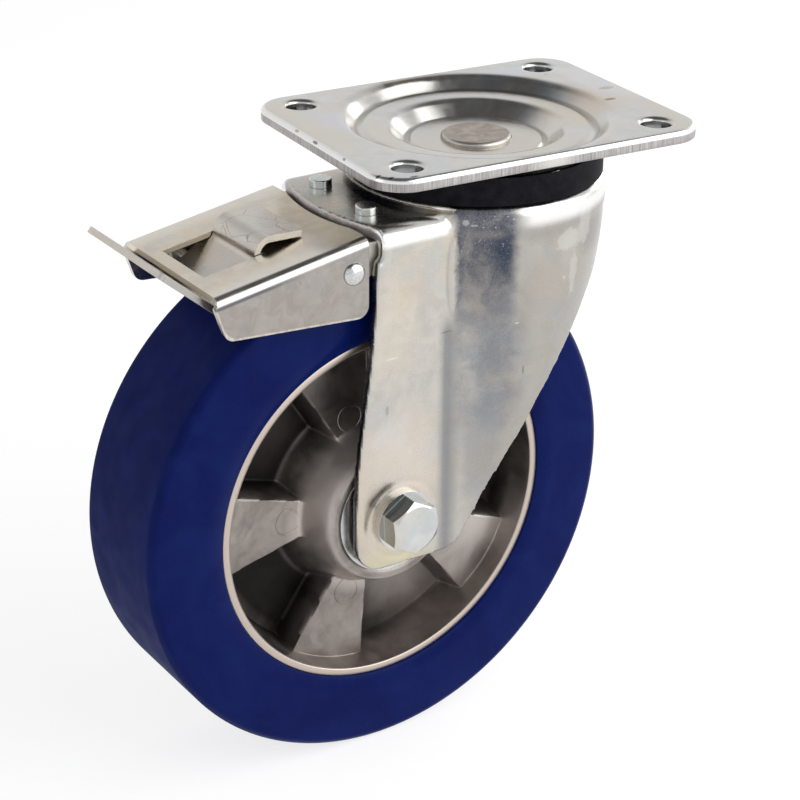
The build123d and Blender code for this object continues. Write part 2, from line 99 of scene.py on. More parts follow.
world = bpy.data.worlds.new("studio")
scene.world = world
world.use_nodes = True
wn = world.node_tree
wn.nodes.clear()
w_out = wn.nodes.new("ShaderNodeOutputWorld")
w_bg = wn.nodes.new("ShaderNodeBackground")
w_co = wn.nodes.new("ShaderNodeTexCoord")
w_sep = wn.nodes.new("ShaderNodeSeparateXYZ")
w_ramp = wn.nodes.new("ShaderNodeValToRGB")
w_map = wn.nodes.new("ShaderNodeMapRange")
wn.links.new(w_co.outputs["Generated"], w_sep.inputs[0])
wn.links.new(w_sep.outputs["Z"], w_map.inputs["Value"])
w_map.inputs["From Min"].default_value = -1.0
w_map.inputs["From Max"].default_value = 1.0
wn.links.new(w_map.outputs["Result"], w_ramp.inputs["Fac"])
els = w_ramp.color_ramp.elements
els[0].position, els[0].color = 0.0, (0.90, 0.90, 0.90, 1)
els[1].position, els[1].color = 1.0, (0.14, 0.14, 0.145, 1)
for pos, v in ((0.50, 0.92), (0.60, 1.0), (0.76, 0.95), (0.84, 0.60), (0.90, 0.13), (0.985, 0.10)):
    e = els.new(pos)
    e.color = (v, v, v * 1.015, 1)
wn.links.new(w_ramp.outputs["Color"], w_bg.inputs["Color"])
w_bg.inputs["Strength"].default_value = 0.92
wn.links.new(w_bg.outputs[0], w_out.inputs["Surface"])


def area_light(name, where, target, size, radiance, color=(1, 1, 1)):
    data = bpy.data.lights.new(name, "AREA")
    data.shape = "RECTANGLE"
    data.size, data.size_y = size
    data.energy = radiance * math.pi * size[0] * size[1]
    data.color = color
    ob = bpy.data.objects.new(name, data)
    scene.collection.objects.link(ob)
    ob.location = where
    ob.rotation_euler = (Vector(target) - Vector(where)).to_track_quat("-Z", "Y").to_euler()
    return ob


centre = (-0.03, 0.0, -0.12)
area_light("front_softbox", (0.85, -0.93, 0.66), centre, (2.0, 1.8), 1.9)
area_light("right_softbox", (1.42, 0.55, 0.28), centre, (0.8, 0.7), 1.8)
area_light("left_softbox", (-1.5, 0.1, 0.2), centre, (0.5, 0.9), 0.8)


# ------------------------------------------------------------------ node helpers
class Mat:
    """A small builder for procedural materials."""

    def __init__(self, name):
        self.mat = bpy.data.materials.new(name)
        self.mat.use_nodes = True
        self.t = self.mat.node_tree
        self.bsdf = self.t.nodes["Principled BSDF"]
        co = self.t.nodes.new("ShaderNodeTexCoord")
        self.obj = co.outputs["Object"]
        mp = self.t.nodes.new("ShaderNodeMapping")
        mp.inputs["Rotation"].default_value = (0, 0, -SWING)
        mp.inputs["Scale"].default_value = (1000, 1000, 1000)
        self.t.links.new(self.obj, mp.inputs["Vector"])
        self.fork = mp.outputs["Vector"]          # fork frame, mm
        mp2 = self.t.nodes.new("ShaderNodeMapping")
        mp2.inputs["Scale"].default_value = (1000, 1000, 1000)
        self.t.links.new(self.obj, mp2.inputs["Vector"])
        self.mm = mp2.outputs["Vector"]           # row frame, mm

    def link(self, a, b):
        self.t.links.new(a, b)

    def node(self, kind, **inputs):
        n = self.t.nodes.new(kind)
        for k, v in inputs.items():
            n.inputs[k].default_value = v
        return n

    def noise(self, vec, scale, detail=3.0, rough=0.55, distort=0.0):
        n = self.node("ShaderNodeTexNoise", Scale=scale, Detail=detail, Roughness=rough,
                      Distortion=distort)
        self.link(vec, n.inputs["Vector"])
        return n.outputs["Fac"]

    def voronoi(self, vec, scale, feature="F1"):
        n = self.node("ShaderNodeTexVoronoi", Scale=scale)
        n.feature = feature
        self.link(vec, n.inputs["Vector"])
        return n.outputs["Distance"]

    def stretch(self, vec, sx, sy, sz, rot=(0, 0, 0)):
        mp = self.t.nodes.new("ShaderNodeMapping")
        mp.inputs["Scale"].default_value = (sx, sy, sz)
        mp.inputs["Rotation"].default_value = rot
        self.link(vec, mp.inputs["Vector"])
        return mp.outputs["Vector"]

    def remap(self, fac, lo, hi, to_lo=0.0, to_hi=1.0, smooth=False):
        n = self.t.nodes.new("ShaderNodeMapRange")
        if smooth:
            n.interpolation_type = "SMOOTHSTEP"
        n.inputs["From Min"].default_value = lo
        n.inputs["From Max"].default_value = hi
        n.inputs["To Min"].default_value = to_lo
        n.inputs["To Max"].default_value = to_hi
        self.link(fac, n.inputs["Value"])
        return n.outputs["Result"]

    def math(self, op, a, b=None, clamp=False):
        n = self.t.nodes.new("ShaderNodeMath")
        n.operation = op
        n.use_clamp = clamp
        for i, v in enumerate((a, b)):
            if v is None:
                continue
            if isinstance(v, (int, float)):
                n.inputs[i].default_value = v
            else:
                self.link(v, n.inputs[i])
        return n.outputs[0]

    def mix(self, fac, a, b):
        n = self.t.nodes.new("ShaderNodeMix")
        n.data_type = "RGBA"
        if isinstance(fac, (int, float)):
            n.inputs["Factor"].default_value = fac
        else:
            self.link(fac, n.inputs["Factor"])
        for name, v in (("A", a), ("B", b)):
            sock = [s for s in n.inputs if s.name == name and s.type == "RGBA"][0]
            if isinstance(v, tuple):
                sock.default_value = (*v, 1) if len(v) == 3 else v
            else:
                self.link(v, sock)
        return [s for s in n.outputs if s.type == "RGBA"][0]

    def split(self, vec):
        n = self.t.nodes.new("ShaderNodeSeparateXYZ")
        self.link(vec, n.inputs[0])
        return n.outputs["X"], n.outputs["Y"], n.outputs["Z"]

    def blob(self, vec, centre, radii, lo=0.4, hi=1.0, wobble=0.0, wobble_scale=0.12):
        """1 inside an ellipsoid, falling to 0 outside it, with a ragged edge."""
        mp = self.t.nodes.new("ShaderNodeMapping")
        mp.inputs["Location"].default_value = tuple(-c / r for c, r in zip(centre, radii))
        mp.inputs["Scale"].default_value = tuple(1.0 / r for r in radii)
        self.link(vec, mp.inputs["Vector"])
        ln = self.t.nodes.new("ShaderNodeVectorMath")
        ln.operation = "LENGTH"
        self.link(mp.outputs["Vector"], ln.inputs[0])
        d = ln.outputs["Value"]
        if wobble:
            w = self.noise(vec, wobble_scale, 4.0)
            d = self.math("ADD", d, self.math("MULTIPLY", self.math("SUBTRACT", w, 0.5), wobble))
        return self.remap(d, lo, hi, 1.0, 0.0, smooth=True)

    def radius(self, vec, cx, cz):
        """Distance from the line through (cx, cz) along Y."""
        x, y, z = self.split(vec)
        dx = self.math("SUBTRACT", x, cx)
        dz = self.math("SUBTRACT", z, cz)
        return self.math("SQRT", self.math("ADD", self.math("MULTIPLY", dx, dx),
                                           self.math("MULTIPLY", dz, dz)))

    def fork_normal(self, axis):
        """One component of the surface's own direction, in the fork frame."""
        n = self.t.nodes.new("ShaderNodeNewGeometry")
        tr = self.t.nodes.new("ShaderNodeVectorTransform")
        tr.vector_type = "NORMAL"
        tr.convert_from, tr.convert_to = "WORLD", "OBJECT"
        self.link(n.outputs["True Normal"], tr.inputs[0])
        mp = self.t.nodes.new("ShaderNodeMapping")
        mp.vector_type = "VECTOR"
        mp.inputs["Rotation"].default_value = (0, 0, -SWING)
        self.link(tr.outputs[0], mp.inputs["Vector"])
        return dict(zip("XYZ", self.split(mp.outputs["Vector"])))[axis]

    def up_part(self):
        """How far the surface faces up or down, 0 on a wall and 1 on a level face."""
        n = self.t.nodes.new("ShaderNodeNewGeometry")
        x, y, z = self.split(n.outputs["True Normal"])
        return self.math("ABSOLUTE", z)

    def bump(self, height, strength, distance, normal=None):
        n = self.node("ShaderNodeBump", Strength=strength, Distance=distance)
        self.link(height, n.inputs["Height"])
        if normal is not None:
            self.link(normal, n.inputs["Normal"])
        return n.outputs["Normal"]

    def soft_edges(self, radius):
        n = self.t.nodes.new("ShaderNodeBevel")
        n.samples = 4
        n.inputs["Radius"].default_value = radius
        return n.outputs["Normal"]

    def done(self, color=None, roughness=None, normal=None, metallic=0.0, **consts):
        b = self.bsdf
        if color is not None:
            if isinstance(color, tuple):
                b.inputs["Base Color"].default_value = (*color, 1)
            else:
                self.link(color, b.inputs["Base Color"])
        if roughness is not None:
            if isinstance(roughness, float):
                b.inputs["Roughness"].default_value = roughness
            else:
                self.link(roughness, b.inputs["Roughness"])
        if normal is not None:
            self.link(normal, b.inputs["Normal"])
        b.inputs["Metallic"].default_value = metallic
        for k, v in consts.items():
            b.inputs[k.replace("_", " ")].default_value = v
        return self.mat


def zinc(name, light, dark, warm, cool, r_lo, r_hi, grain=0.6, edge=0.00035, patches=(), more=None):
    """Zinc plated sheet steel: drifting tints, fine grain, faint scratches."""
    m = Mat(name)
    v = m.fork
    drift = m.noise(v, 0.026, 3.0, 0.5, 0.8)
    tint = m.noise(v, 0.05, 3.0, 0.5, 1.2)
    grain_n = m.noise(v, 2.6, 4.0, 0.7)
    mottle = m.noise(v, 0.14, 4.0, 0.55, 0.4)
    col = m.mix(m.remap(mottle, 0.30, 0.72, smooth=True), dark, light)
    col = m.mix(m.math("MULTIPLY", m.remap(drift, 0.42, 0.64, smooth=True), 0.60), col, warm)
    col = m.mix(m.math("MULTIPLY", m.remap(tint, 0.50, 0.70, smooth=True), 0.50), col, cool)
    speck = m.remap(grain_n, 0.58, 0.76)
    col = m.mix(m.math("MULTIPLY", speck, 0.16 * grain), col, (0.26, 0.255, 0.25))
    rough = m.remap(mottle, 0.3, 0.7, r_lo, r_hi)
    for centre_mm, radii, colour, amount, speckle, wob in patches:
        mask = m.blob(v, centre_mm, radii, 0.35, 1.05, wobble=wob)
        if speckle:
            fine = m.remap(m.noise(v, 1.5, 5.0, 0.8), 0.36, 0.62)
            mask = m.math("MULTIPLY", mask, m.math("ADD", m.math("MULTIPLY", fine, speckle),
                                                   1.0 - speckle))
        col = m.mix(m.math("MULTIPLY", mask, amount), col, colour)
    # long faint scratches in two directions
    s1 = m.noise(m.stretch(v, 0.06, 0.9, 1.6, (0.2, 0.5, 0.3)), 1.6, 2.0, 0.5)
    s2 = m.noise(m.stretch(v, 1.4, 0.8, 0.05, (0.1, -0.3, 0.8)), 1.9, 2.0, 0.5)
    scr = m.math("MAXIMUM", m.remap(s1, 0.72, 0.78), m.remap(s2, 0.73, 0.79))
    col = m.mix(m.math("MULTIPLY", scr, 0.18), col, (0.80, 0.79, 0.77))
    if more is not None:
        col, rough = more(m, col, rough)
    n0 = m.soft_edges(edge)
    n1 = m.bump(m.noise(v, 0.07, 2.0), 0.22, 0.0004, n0)
    n2 = m.bump(grain_n, 0.08 * grain, 0.00012, n1)
    n3 = m.bump(scr, 0.10, 0.00008, n2)
    return m, col, rough, n3


def marks(m, col, v, items):
    """Small nicks, specks and flecks: (centre, radii, colour, amount)."""
    for c, r, colour, amount in items:
        mask = m.blob(v, c, r, 0.55, 0.95, wobble=0.5, wobble_scale=0.9)
        col = m.mix(m.math("MULTIPLY", mask, amount), col, colour)
    return col


def use(node, mat):
    o = NODES[node]
    if o.material_slots:
        for s in o.material_slots:
            s.material = mat
    else:
        o.data.materials.append(mat)


# ------------------------------------------------------------------ materials
def fork_more(m, col, rough):
    v = m.fork
    x, y, z = m.split(v)
    # soft shade in the crease where the flat leg meets the wing, both sides
    crease = m.math("MULTIPLY", m.remap(m.math("ABSOLUTE", m.math("ADD", x, 35.4)), 0.0, 5.4, 1.0, 0.0, smooth=True),
                    m.remap(z, -58.0, -68.0, smooth=True))
    col = m.mix(m.math("MULTIPLY", crease, 0.72), col, (0.18, 0.19, 0.21))
    # oval bead beside the patch: painted highlight on its back, painted shade along its foot
    bead = m.blob(v, (-34.2, -35, -45), (2.1, 12, 15), 0.82, 1.0)
    bead_foot_shade = m.math("SUBTRACT", m.blob(v, (-34.0, -35, -45), (3.6, 12, 17), 0.75, 1.05), bead, clamp=True)
    col = m.mix(m.math("MULTIPLY", bead_foot_shade, 0.26), col, (0.20, 0.20, 0.20))
    col = m.mix(m.math("MULTIPLY", bead, 0.55), col, (0.50, 0.48, 0.43))
    # sheared edges of the leg: painted dark reflection of the tyre, with painted glints
    leg_edge_reflection = m.math("MULTIPLY", m.remap(m.fork_normal("X"), -0.70, -0.88), m.remap(z, -42.0, -50.0))
    leg_edge_reflection = m.math("MULTIPLY", leg_edge_reflection, m.remap(m.radius(v, -55.0, -138.0), 16.6, 17.2))
    nicks = m.remap(m.noise(m.stretch(v, 0.3, 1.3, 1.0), 1.3, 3.0, 0.7), 0.60, 0.66)
    col = m.mix(m.math("MULTIPLY", leg_edge_reflection, 0.85), col, m.mix(nicks, (0.050, 0.058, 0.072), (0.62, 0.63, 0.62)))
    # the wings are duller than the legs
    wing = m.remap(x, -34.0, -20.0, smooth=True)
    col = m.mix(m.math("MULTIPLY", m.math("MULTIPLY", wing, m.remap(z, -24.5, -28.5)), 0.52), col, (0.31, 0.30, 0.285))
    # grainy navy patch below the seal: its front edge is upright and fairly sharp
    gr = m.remap(m.noise(v, 1.7, 5.0, 0.85), 0.34, 0.66)
    cloudy = m.remap(m.noise(v, 0.11, 3.0, 0.6, 0.5), 0.30, 0.62, smooth=True)
    bx = m.math("ADD", x, m.math("MULTIPLY", m.math("SUBTRACT", m.noise(v, 0.25, 3.0), 0.5), 3.0))
    inside = m.math("MULTIPLY", m.remap(bx, -34.4, -32.4), m.remap(bx, -12.0, -17.0, smooth=True))
    inside = m.math("MULTIPLY", inside, m.remap(z, -74.0, -44.0, smooth=True))
    inside = m.math("MULTIPLY", inside, m.remap(m.math("ABSOLUTE", y), 30.0, 34.0))
    amount = m.math("MULTIPLY", inside, m.math("ADD", m.math("MULTIPLY", gr, 0.36), 0.62))
    amount = m.math("MULTIPLY", amount, m.math("ADD", m.math("MULTIPLY", cloudy, 0.34), 0.66))
    col = m.mix(amount, col, (0.034, 0.048, 0.086))
    deep = m.blob(v, (-19, -43, -37), (6.5, 14, 15), 0.2, 1.05, wobble=0.5)
    col = m.mix(m.math("MULTIPLY", m.math("MULTIPLY", deep, inside), m.math("ADD", m.math("MULTIPLY", gr, 0.3), 0.45)), col, (0.018, 0.030, 0.062))
    # below it the grain thins out over the middle of the wing
    low = m.math("MULTIPLY", m.remap(bx, -34.0, -31.0), m.remap(bx, -4.0, -14.0, smooth=True))
    low = m.math("MULTIPLY", low, m.math("MULTIPLY", m.remap(z, -46.0, -60.0, smooth=True),
                                         m.remap(z, -122.0, -84.0, smooth=True)))
    low = m.math("MULTIPLY", low, m.remap(m.math("ABSOLUTE", y), 30.0, 34.0))
    low = m.math("MULTIPLY", low, m.math("ADD", m.math("MULTIPLY", gr, 0.30), m.math("MULTIPLY", cloudy, 0.35)))
    col = m.mix(m.math("MULTIPLY", low, 0.75), col, (0.13, 0.15, 0.20))
    band = m.math("MULTIPLY", inside, m.blob(v, (-25, -41, -29.5), (10, 14, 2.6), 0.2, 1.1, wobble=0.7))
    col = m.mix(m.math("MULTIPLY", band, 0.5), col, (0.26, 0.24, 0.225))
    salt = m.math("MULTIPLY", inside, m.remap(m.noise(v, 1.25, 2.0, 0.6), 0.66, 0.70))
    salt = m.math("MULTIPLY", salt, m.remap(z, -46.0, -24.0, 0.25, 1.0))
    col = m.mix(m.math("MULTIPLY", salt, 0.8), col, (0.62, 0.62, 0.61))
    stain = m.math("MAXIMUM", m.blob(v, (17, -45, -33), (4.5, 12, 9), 0.6, 1.0, wobble=1.3, wobble_scale=0.3),
                   m.blob(v, (9, -46, -36), (8, 12, 4.5), 0.6, 1.0, wobble=1.5, wobble_scale=0.35))
    stain = m.math("MAXIMUM", stain, m.blob(v, (12, -46, -50), (2.6, 12, 11), 0.5, 1.0, wobble=1.4, wobble_scale=0.3))
    col = m.mix(m.math("MULTIPLY", stain, 0.45), col, (0.62, 0.60, 0.55))
    # sheared edge of the crown: dull, grainy, brownish
    cut = m.math("MULTIPLY", m.remap(m.up_part(), 0.75, 0.45), m.math("MULTIPLY", m.remap(z, -22.7, -23.2), m.remap(z, -27.6, -27.2)))
    cut = m.math("MULTIPLY", cut, m.remap(x, -40.0, -44.0))
    cut = m.math("MULTIPLY", cut, m.remap(m.math("ABSOLUTE", y), 34.6, 34.2))
    cut_grain = m.remap(m.noise(v, 1.5, 4.0, 0.8), 0.35, 0.65)
    col = m.mix(m.math("MULTIPLY", cut, 0.9), col, m.mix(cut_grain, (0.36, 0.325, 0.315), (0.66, 0.61, 0.60)))
    rough = m.math("ADD", rough, m.math("MULTIPLY", cut, 0.2))
    # painted highlight on the outside of the fold and of the shoulder
    fold = m.math("MULTIPLY", m.remap(m.math("ABSOLUTE", y), 29.0, 31.5, smooth=True), m.remap(z, -30.5, -28.0, smooth=True))
    fold = m.math("MULTIPLY", fold, m.remap(x, -35.0, -38.0, smooth=True))
    shoulder_highlight = m.math("MULTIPLY", m.remap(z, -29.5, -25.5, smooth=True), m.remap(x, -14.0, -8.0, smooth=True))
    painted_highlight = m.math("MULTIPLY", m.math("MAXIMUM", fold, m.math("MULTIPLY", shoulder_highlight, 0.85)), 0.88)
    col = m.mix(painted_highlight, col, (0.93, 0.935, 0.93))
    rough = m.math("SUBTRACT", rough, m.math("MULTIPLY", painted_highlight, 0.08))
    # grain in the head's patch rubs the plating dull
    patch = m.blob(v, (-24, -42, -36), (14, 12, 30), 0.5, 1.1, wobble=0.5)
    rough = m.math("ADD", rough, m.math("MULTIPLY", patch, 0.10))
    col = marks(m, col, v, (
        ((-30.8, -37.6, -25.2), (1.2, 2.0, 1.6), (0.70, 0.69, 0.66), 0.4),
        ((-28.5, -39.4, -26.2), (1.6, 2.0, 0.6), (0.70, 0.69, 0.66), 0.35),
        ((7.2, -46.8, -50.9), (1.0, 2.0, 1.0), (0.66, 0.64, 0.60), 0.4),
        ((-12.5, -45.4, -65.1), (1.1, 2.0, 0.35), (0.80, 0.79, 0.75), 0.5),
        ((-8.5, -44.8, -85.1), (0.5, 2.0, 2.2), (0.16, 0.13, 0.12), 0.6),
        ((-36.5, -35.2, -67.0), (3.2, 2.0, 0.5), (0.16, 0.14, 0.12), 0.5),
        ((-60.0, -35.0, -72.0), (3.5, 1.5, 0.35), (0.80, 0.79, 0.76), 0.5),
        ((-62.0, -35.0, -92.0), (1.0, 1.5, 2.6), (0.30, 0.27, 0.22), 0.5),
    ))
    return col, rough


m, col, rough, nrm = zinc("fork_zinc", (0.55, 0.525, 0.48), (0.48, 0.46, 0.425), (0.57, 0.49, 0.39),
                          (0.45, 0.475, 0.49), 0.22, 0.33, grain=0.9, edge=0.0004, more=fork_more,
                          patches=(
                              ((-20, -43, -74), (10, 12, 16), (0.13, 0.16, 0.22), 0.75, 0.6, 1.1),
                              ((-18, -43, -93), (11, 12, 18), (0.18, 0.21, 0.26), 0.68, 0.6, 1.1),
                              ((-24, -41, -114), (13, 12, 28), (0.25, 0.27, 0.30), 0.55, 0.4, 0.8),
                              # painted dark reflection on the front of the head, near side
                              ((22, -38, -37), (12, 22, 11), (0.20, 0.20, 0.205), 0.60, 0.2, 0.5),
                              ((2, -48, -30), (15, 12, 8), (0.36, 0.33, 0.30), 0.5, 0.3, 0.6),
                              ((9, -46, -41), (6, 12, 13), (0.66, 0.635, 0.58), 0.5, 0.2, 0.7),
                              ((-60, -35, -104), (9, 6, 10), (0.52, 0.56, 0.57), 0.60, 0.0, 0.5),
                              ((-58, -35, -124), (24, 6, 40), (0.69, 0.61, 0.535), 0.60, 0.0, 0.4),
                              ((-58, -35, -155), (22, 6, 10), (0.60, 0.56, 0.38), 0.60, 0.0, 0.4),
                              ((-60, -35, -62), (16, 6, 26), (0.66, 0.59, 0.50), 0.40, 0.0, 0.6),
                              # painted dark reflection of the seal on the crown
                              ((-44, 0, -22), (17, 27.5, 4.5), (0.035, 0.047, 0.060), 0.92, 0.1, 0.2),
                          ))
fork_mat = m.done(col, rough, nrm, metallic=1.0)


def plate_more(m, col, rough):
    v = m.mm
    x, y, z = m.split(v)
    rr = m.math("SQRT", m.math("ADD", m.math("MULTIPLY", x, x), m.math("MULTIPLY", y, y)))
    # sheared side of the plate: upright striations
    hx = m.math("SUBTRACT", m.math("ABSOLUTE", x), 52.5)
    hy = m.math("SUBTRACT", m.math("ABSOLUTE", y), 40.0)
    hole = m.math("SQRT", m.math("ADD", m.math("MULTIPLY", hx, hx), m.math("MULTIPLY", hy, hy)))
    side_mask = m.math("MULTIPLY", m.remap(z, -1.75, -2.05), m.math("MULTIPLY", m.remap(z, -4.95, -4.75), m.remap(rr, 53.0, 54.0)))
    side_mask = m.math("MULTIPLY", side_mask, m.remap(hole, 7.6, 8.2))
    # painted shade down the walls of the bolt holes
    hole_wall_shade = m.math("MULTIPLY", m.remap(hole, 6.0, 5.6), m.remap(z, -1.2, -2.4))
    col = m.mix(m.math("MULTIPLY", hole_wall_shade, 0.75), col, (0.16, 0.175, 0.19))
    # painted highlight along the rounded upper edge of the outline
    ox = m.math("MAXIMUM", m.math("SUBTRACT", m.math("ABSOLUTE", x), 54.0), 0.0)
    oy = m.math("MAXIMUM", m.math("SUBTRACT", m.math("ABSOLUTE", y), 39.0), 0.0)
    out = m.math("SQRT", m.math("ADD", m.math("MULTIPLY", ox, ox), m.math("MULTIPLY", oy, oy)))
    rim = m.math("MULTIPLY", m.remap(out, 12.3, 12.9), m.remap(z, -2.0, -1.7))
    col = m.mix(m.math("MULTIPLY", rim, 0.7), col, (0.90, 0.90, 0.91))
    # upright striations on the sheared side
    lines = m.noise(m.stretch(v, 1.0, 1.0, 0.03), 2.8, 3.0, 0.7)
    edge_col = m.mix(m.remap(lines, 0.35, 0.65), (0.25, 0.235, 0.235), (0.52, 0.50, 0.495))
    col = m.mix(side_mask, col, edge_col)
    rough = m.math("ADD", rough, m.math("MULTIPLY", side_mask, 0.18))
    # painted shade along the troughs of the dish's rings
    outer_trough_shade = m.remap(m.math("ABSOLUTE", m.math("SUBTRACT", rr, 44.9)), 0.25, 1.1, 1.0, 0.0, smooth=True)
    inner_trough_shade = m.remap(m.math("ABSOLUTE", m.math("SUBTRACT", rr, 26.2)), 0.3, 1.3, 1.0, 0.0, smooth=True)
    col = m.mix(m.math("MULTIPLY", m.math("MAXIMUM", outer_trough_shade, inner_trough_shade), 0.55), col, (0.22, 0.20, 0.18))
    col = marks(m, col, v, (
        ((-66.2, -44.0, -0.4), (2.2, 0.8, 0.8), (0.06, 0.035, 0.03), 0.8),
        ((-63.0, -47.8, -0.3), (1.6, 0.8, 0.8), (0.06, 0.035, 0.03), 0.8),
        ((-55.7, -50.6, -0.2), (2.4, 0.9, 0.8), (0.07, 0.04, 0.03), 0.85),
        ((-67.7, -0.6, -0.6), (0.8, 2.4, 0.8), (0.10, 0.07, 0.06), 0.75),
        ((-67.4, -22.0, -0.6), (0.7, 1.4, 0.8), (0.12, 0.09, 0.07), 0.6),
        ((-67.4, 14.0, -0.6), (0.7, 1.8, 0.8), (0.12, 0.09, 0.07), 0.5),
        ((53.7, -8.6, 0.0), (3.2, 1.6, 0.6), (0.16, 0.09, 0.05), 0.75),
        ((60.5, 4.0, 0.0), (4.2, 2.2, 0.6), (0.30, 0.20, 0.12), 0.45),
        ((50.0, 30.0, 0.0), (1.4, 0.8, 0.6), (0.25, 0.18, 0.12), 0.5),
        ((-59.5, 38.0, 0.0), (1.0, 0.9, 0.6), (0.20, 0.15, 0.12), 0.5),
    ))
    return col, rough


m, col, rough, nrm = zinc("plate_zinc", (0.64, 0.63, 0.595), (0.55, 0.545, 0.515), (0.62, 0.555, 0.465),
                          (0.56, 0.585, 0.61), 0.17, 0.26, grain=0.5, edge=0.0003, more=plate_more,
                          patches=(
                              ((47, -6, 0), (10, 26, 8), (0.60, 0.51, 0.41), 0.60, 0.0, 0.8),
                              ((-60, 8, 0), (10, 30, 8), (0.62, 0.58, 0.49), 0.55, 0.0, 0.8),
                              ((-10, -47, 0), (34, 8, 8), (0.62, 0.60, 0.53), 0.6, 0.0, 0.8),
                              ((62, 10, 0), (9, 30, 8), (0.66, 0.67, 0.70), 0.6, 0.0, 0.8),
                              ((36, -6, -4), (8, 26, 8), (0.62, 0.54, 0.43), 0.55, 0.0, 0.8),
                              ((44, 12, -2), (5, 14, 8), (0.50, 0.62, 0.70), 0.5, 0.0, 0.9),
                              ((-47, 18, 0), (13, 20, 8), (0.58, 0.60, 0.66), 0.55, 0.0, 0.6),
                              ((40, 36, 0), (30, 10, 8), (0.57, 0.60, 0.66), 0.5, 0.0, 0.6),
                              ((0, 0, -8), (30, 30, 9), (0.60, 0.535, 0.46), 0.45, 0.0, 0.3),
                          ))
plate_mat = m.done(col, rough, nrm, metallic=1.0)


def cover_more(m, col, rough):
    v = m.fork
    # a row of small dents along the near flange, under the fold
    fine = m.remap(m.noise(v, 1.1, 3.0, 0.8), 0.50, 0.62)
    row_mask = None
    for t in (0.0, 0.2, 0.4, 0.6, 0.8, 1.0):
        c = (-119.3 + 38.0 * t, -34.0, -39.3 + 7.5 * t)
        b = m.blob(v, c, (5.2, 2.0, 1.7), 0.5, 1.0, wobble=0.4, wobble_scale=0.5)
        row_mask = b if row_mask is None else m.math("MAXIMUM", row_mask, b)
    row_mask = m.math("MULTIPLY", row_mask, fine)
    col = m.mix(m.math("MULTIPLY", row_mask, 0.55), col, (0.78, 0.77, 0.74))
    x, y, z = m.split(v)
    # the flanges are painted a darker grey than the top: painted shade on the cover's sides
    flange = m.remap(m.math("ABSOLUTE", y), 32.6, 33.8)
    col = m.mix(m.math("MULTIPLY", flange, 0.75), col, m.mix(m.remap(m.noise(v, 0.16, 4.0, 0.6, 0.8), 0.35, 0.65, smooth=True),
                                                             (0.225, 0.211, 0.207), (0.285, 0.272, 0.270)))
    # painted highlight on the top along its folds
    fold_side_highlight = m.math("MULTIPLY", m.remap(m.math("ABSOLUTE", y), 21.0, 31.0, smooth=True), m.math("SUBTRACT", 1.0, flange))
    col = m.mix(m.math("MULTIPLY", fold_side_highlight, 0.42), col, (0.86, 0.83, 0.77))
    # the fold itself is painted a plainer grey, damping its highlight
    drop = m.math("SUBTRACT", m.math("MULTIPLY", m.math("ADD", x, 69.3), 0.1655), m.math("ADD", z, 24.4))
    fold = m.math("MULTIPLY", m.remap(m.math("ABSOLUTE", y), 30.4, 31.6, smooth=True), m.remap(drop, 3.4, 2.4, smooth=True))
    col = m.mix(m.math("MULTIPLY", fold, 0.7), col, (0.60, 0.58, 0.56))
    # light burr along the lower and rear edges of the near and far flange
    low = m.math("ADD", m.math("ADD", z, 50.4), m.math("MULTIPLY", m.math("ADD", x, 126.6), 0.0663))
    rear = m.math("ADD", m.math("MULTIPLY", m.math("ADD", x, 126.6), 0.947), m.math("MULTIPLY", m.math("ADD", z, 50.4), 0.3207))
    q1 = m.math("MAXIMUM", m.math("SUBTRACT", 4.5, low), 0.0)
    q2 = m.math("MAXIMUM", m.math("SUBTRACT", 4.5, rear), 0.0)
    inset = m.math("SUBTRACT", 4.5, m.math("SQRT", m.math("ADD", m.math("MULTIPLY", q1, q1), m.math("MULTIPLY", q2, q2))))
    burr = m.math("MULTIPLY", m.remap(inset, 1.0, 0.35, smooth=True), flange)
    burr = m.math("MULTIPLY", burr, m.remap(m.noise(v, 0.5, 3.0), 0.25, 0.6))
    col = m.mix(m.math("MULTIPLY", burr, 0.75), col, (0.72, 0.67, 0.60))
    # painted dark reflection in a band on the flange just below the fold
    under = m.math("MULTIPLY", m.remap(drop, 2.6, 3.2), m.remap(drop, 4.6, 3.6, smooth=True))
    under = m.math("MULTIPLY", under, m.math("MULTIPLY", flange, m.remap(x, -95.0, -112.0, smooth=True)))
    col = m.mix(m.math("MULTIPLY", under, 0.7), col, (0.06, 0.065, 0.10))
    return col, rough


m, col, rough, nrm = zinc("cover_zinc", (0.70, 0.64, 0.545), (0.55, 0.51, 0.44), (0.66, 0.57, 0.44),
                          (0.46, 0.49, 0.50), 0.17, 0.27, grain=0.6, edge=0.0003, more=cover_more)
cover_mat = m.done(col, rough, nrm, metallic=1.0)


def lever_more(m, col, rough):
    v = m.fork
    # curved hair scratches on the release hook
    cells = m.voronoi(m.stretch(v, 1.0, 1.0, 1.0), 0.085, "DISTANCE_TO_EDGE")
    wob = m.noise(v, 0.25, 3.0)
    line = m.remap(m.math("ADD", cells, m.math("MULTIPLY", wob, 0.02)), 0.012, 0.020, 1.0, 0.0)
    hook = m.blob(v, (-94, 0, -26), (14, 22, 7), 0.6, 1.0)
    col = m.mix(m.math("MULTIPLY", m.math("MULTIPLY", line, hook), 0.7), col, (0.10, 0.085, 0.075))
    # faces turned across the fork are painted darker: painted shade damping their reflection
    edge = m.remap(m.math("ABSOLUTE", m.fork_normal("Y")), 0.80, 0.92)
    col = m.mix(m.math("MULTIPLY", edge, 0.7), col, (0.33, 0.325, 0.315))
    return col, rough


m, col, rough, nrm = zinc("lever_zinc", (0.64, 0.605, 0.555), (0.54, 0.51, 0.465), (0.60, 0.545, 0.46),
                          (0.46, 0.475, 0.485), 0.24, 0.34, grain=0.7, edge=0.0003, more=lever_more)
lever_mat = m.done(col, rough, nrm, metallic=1.0)

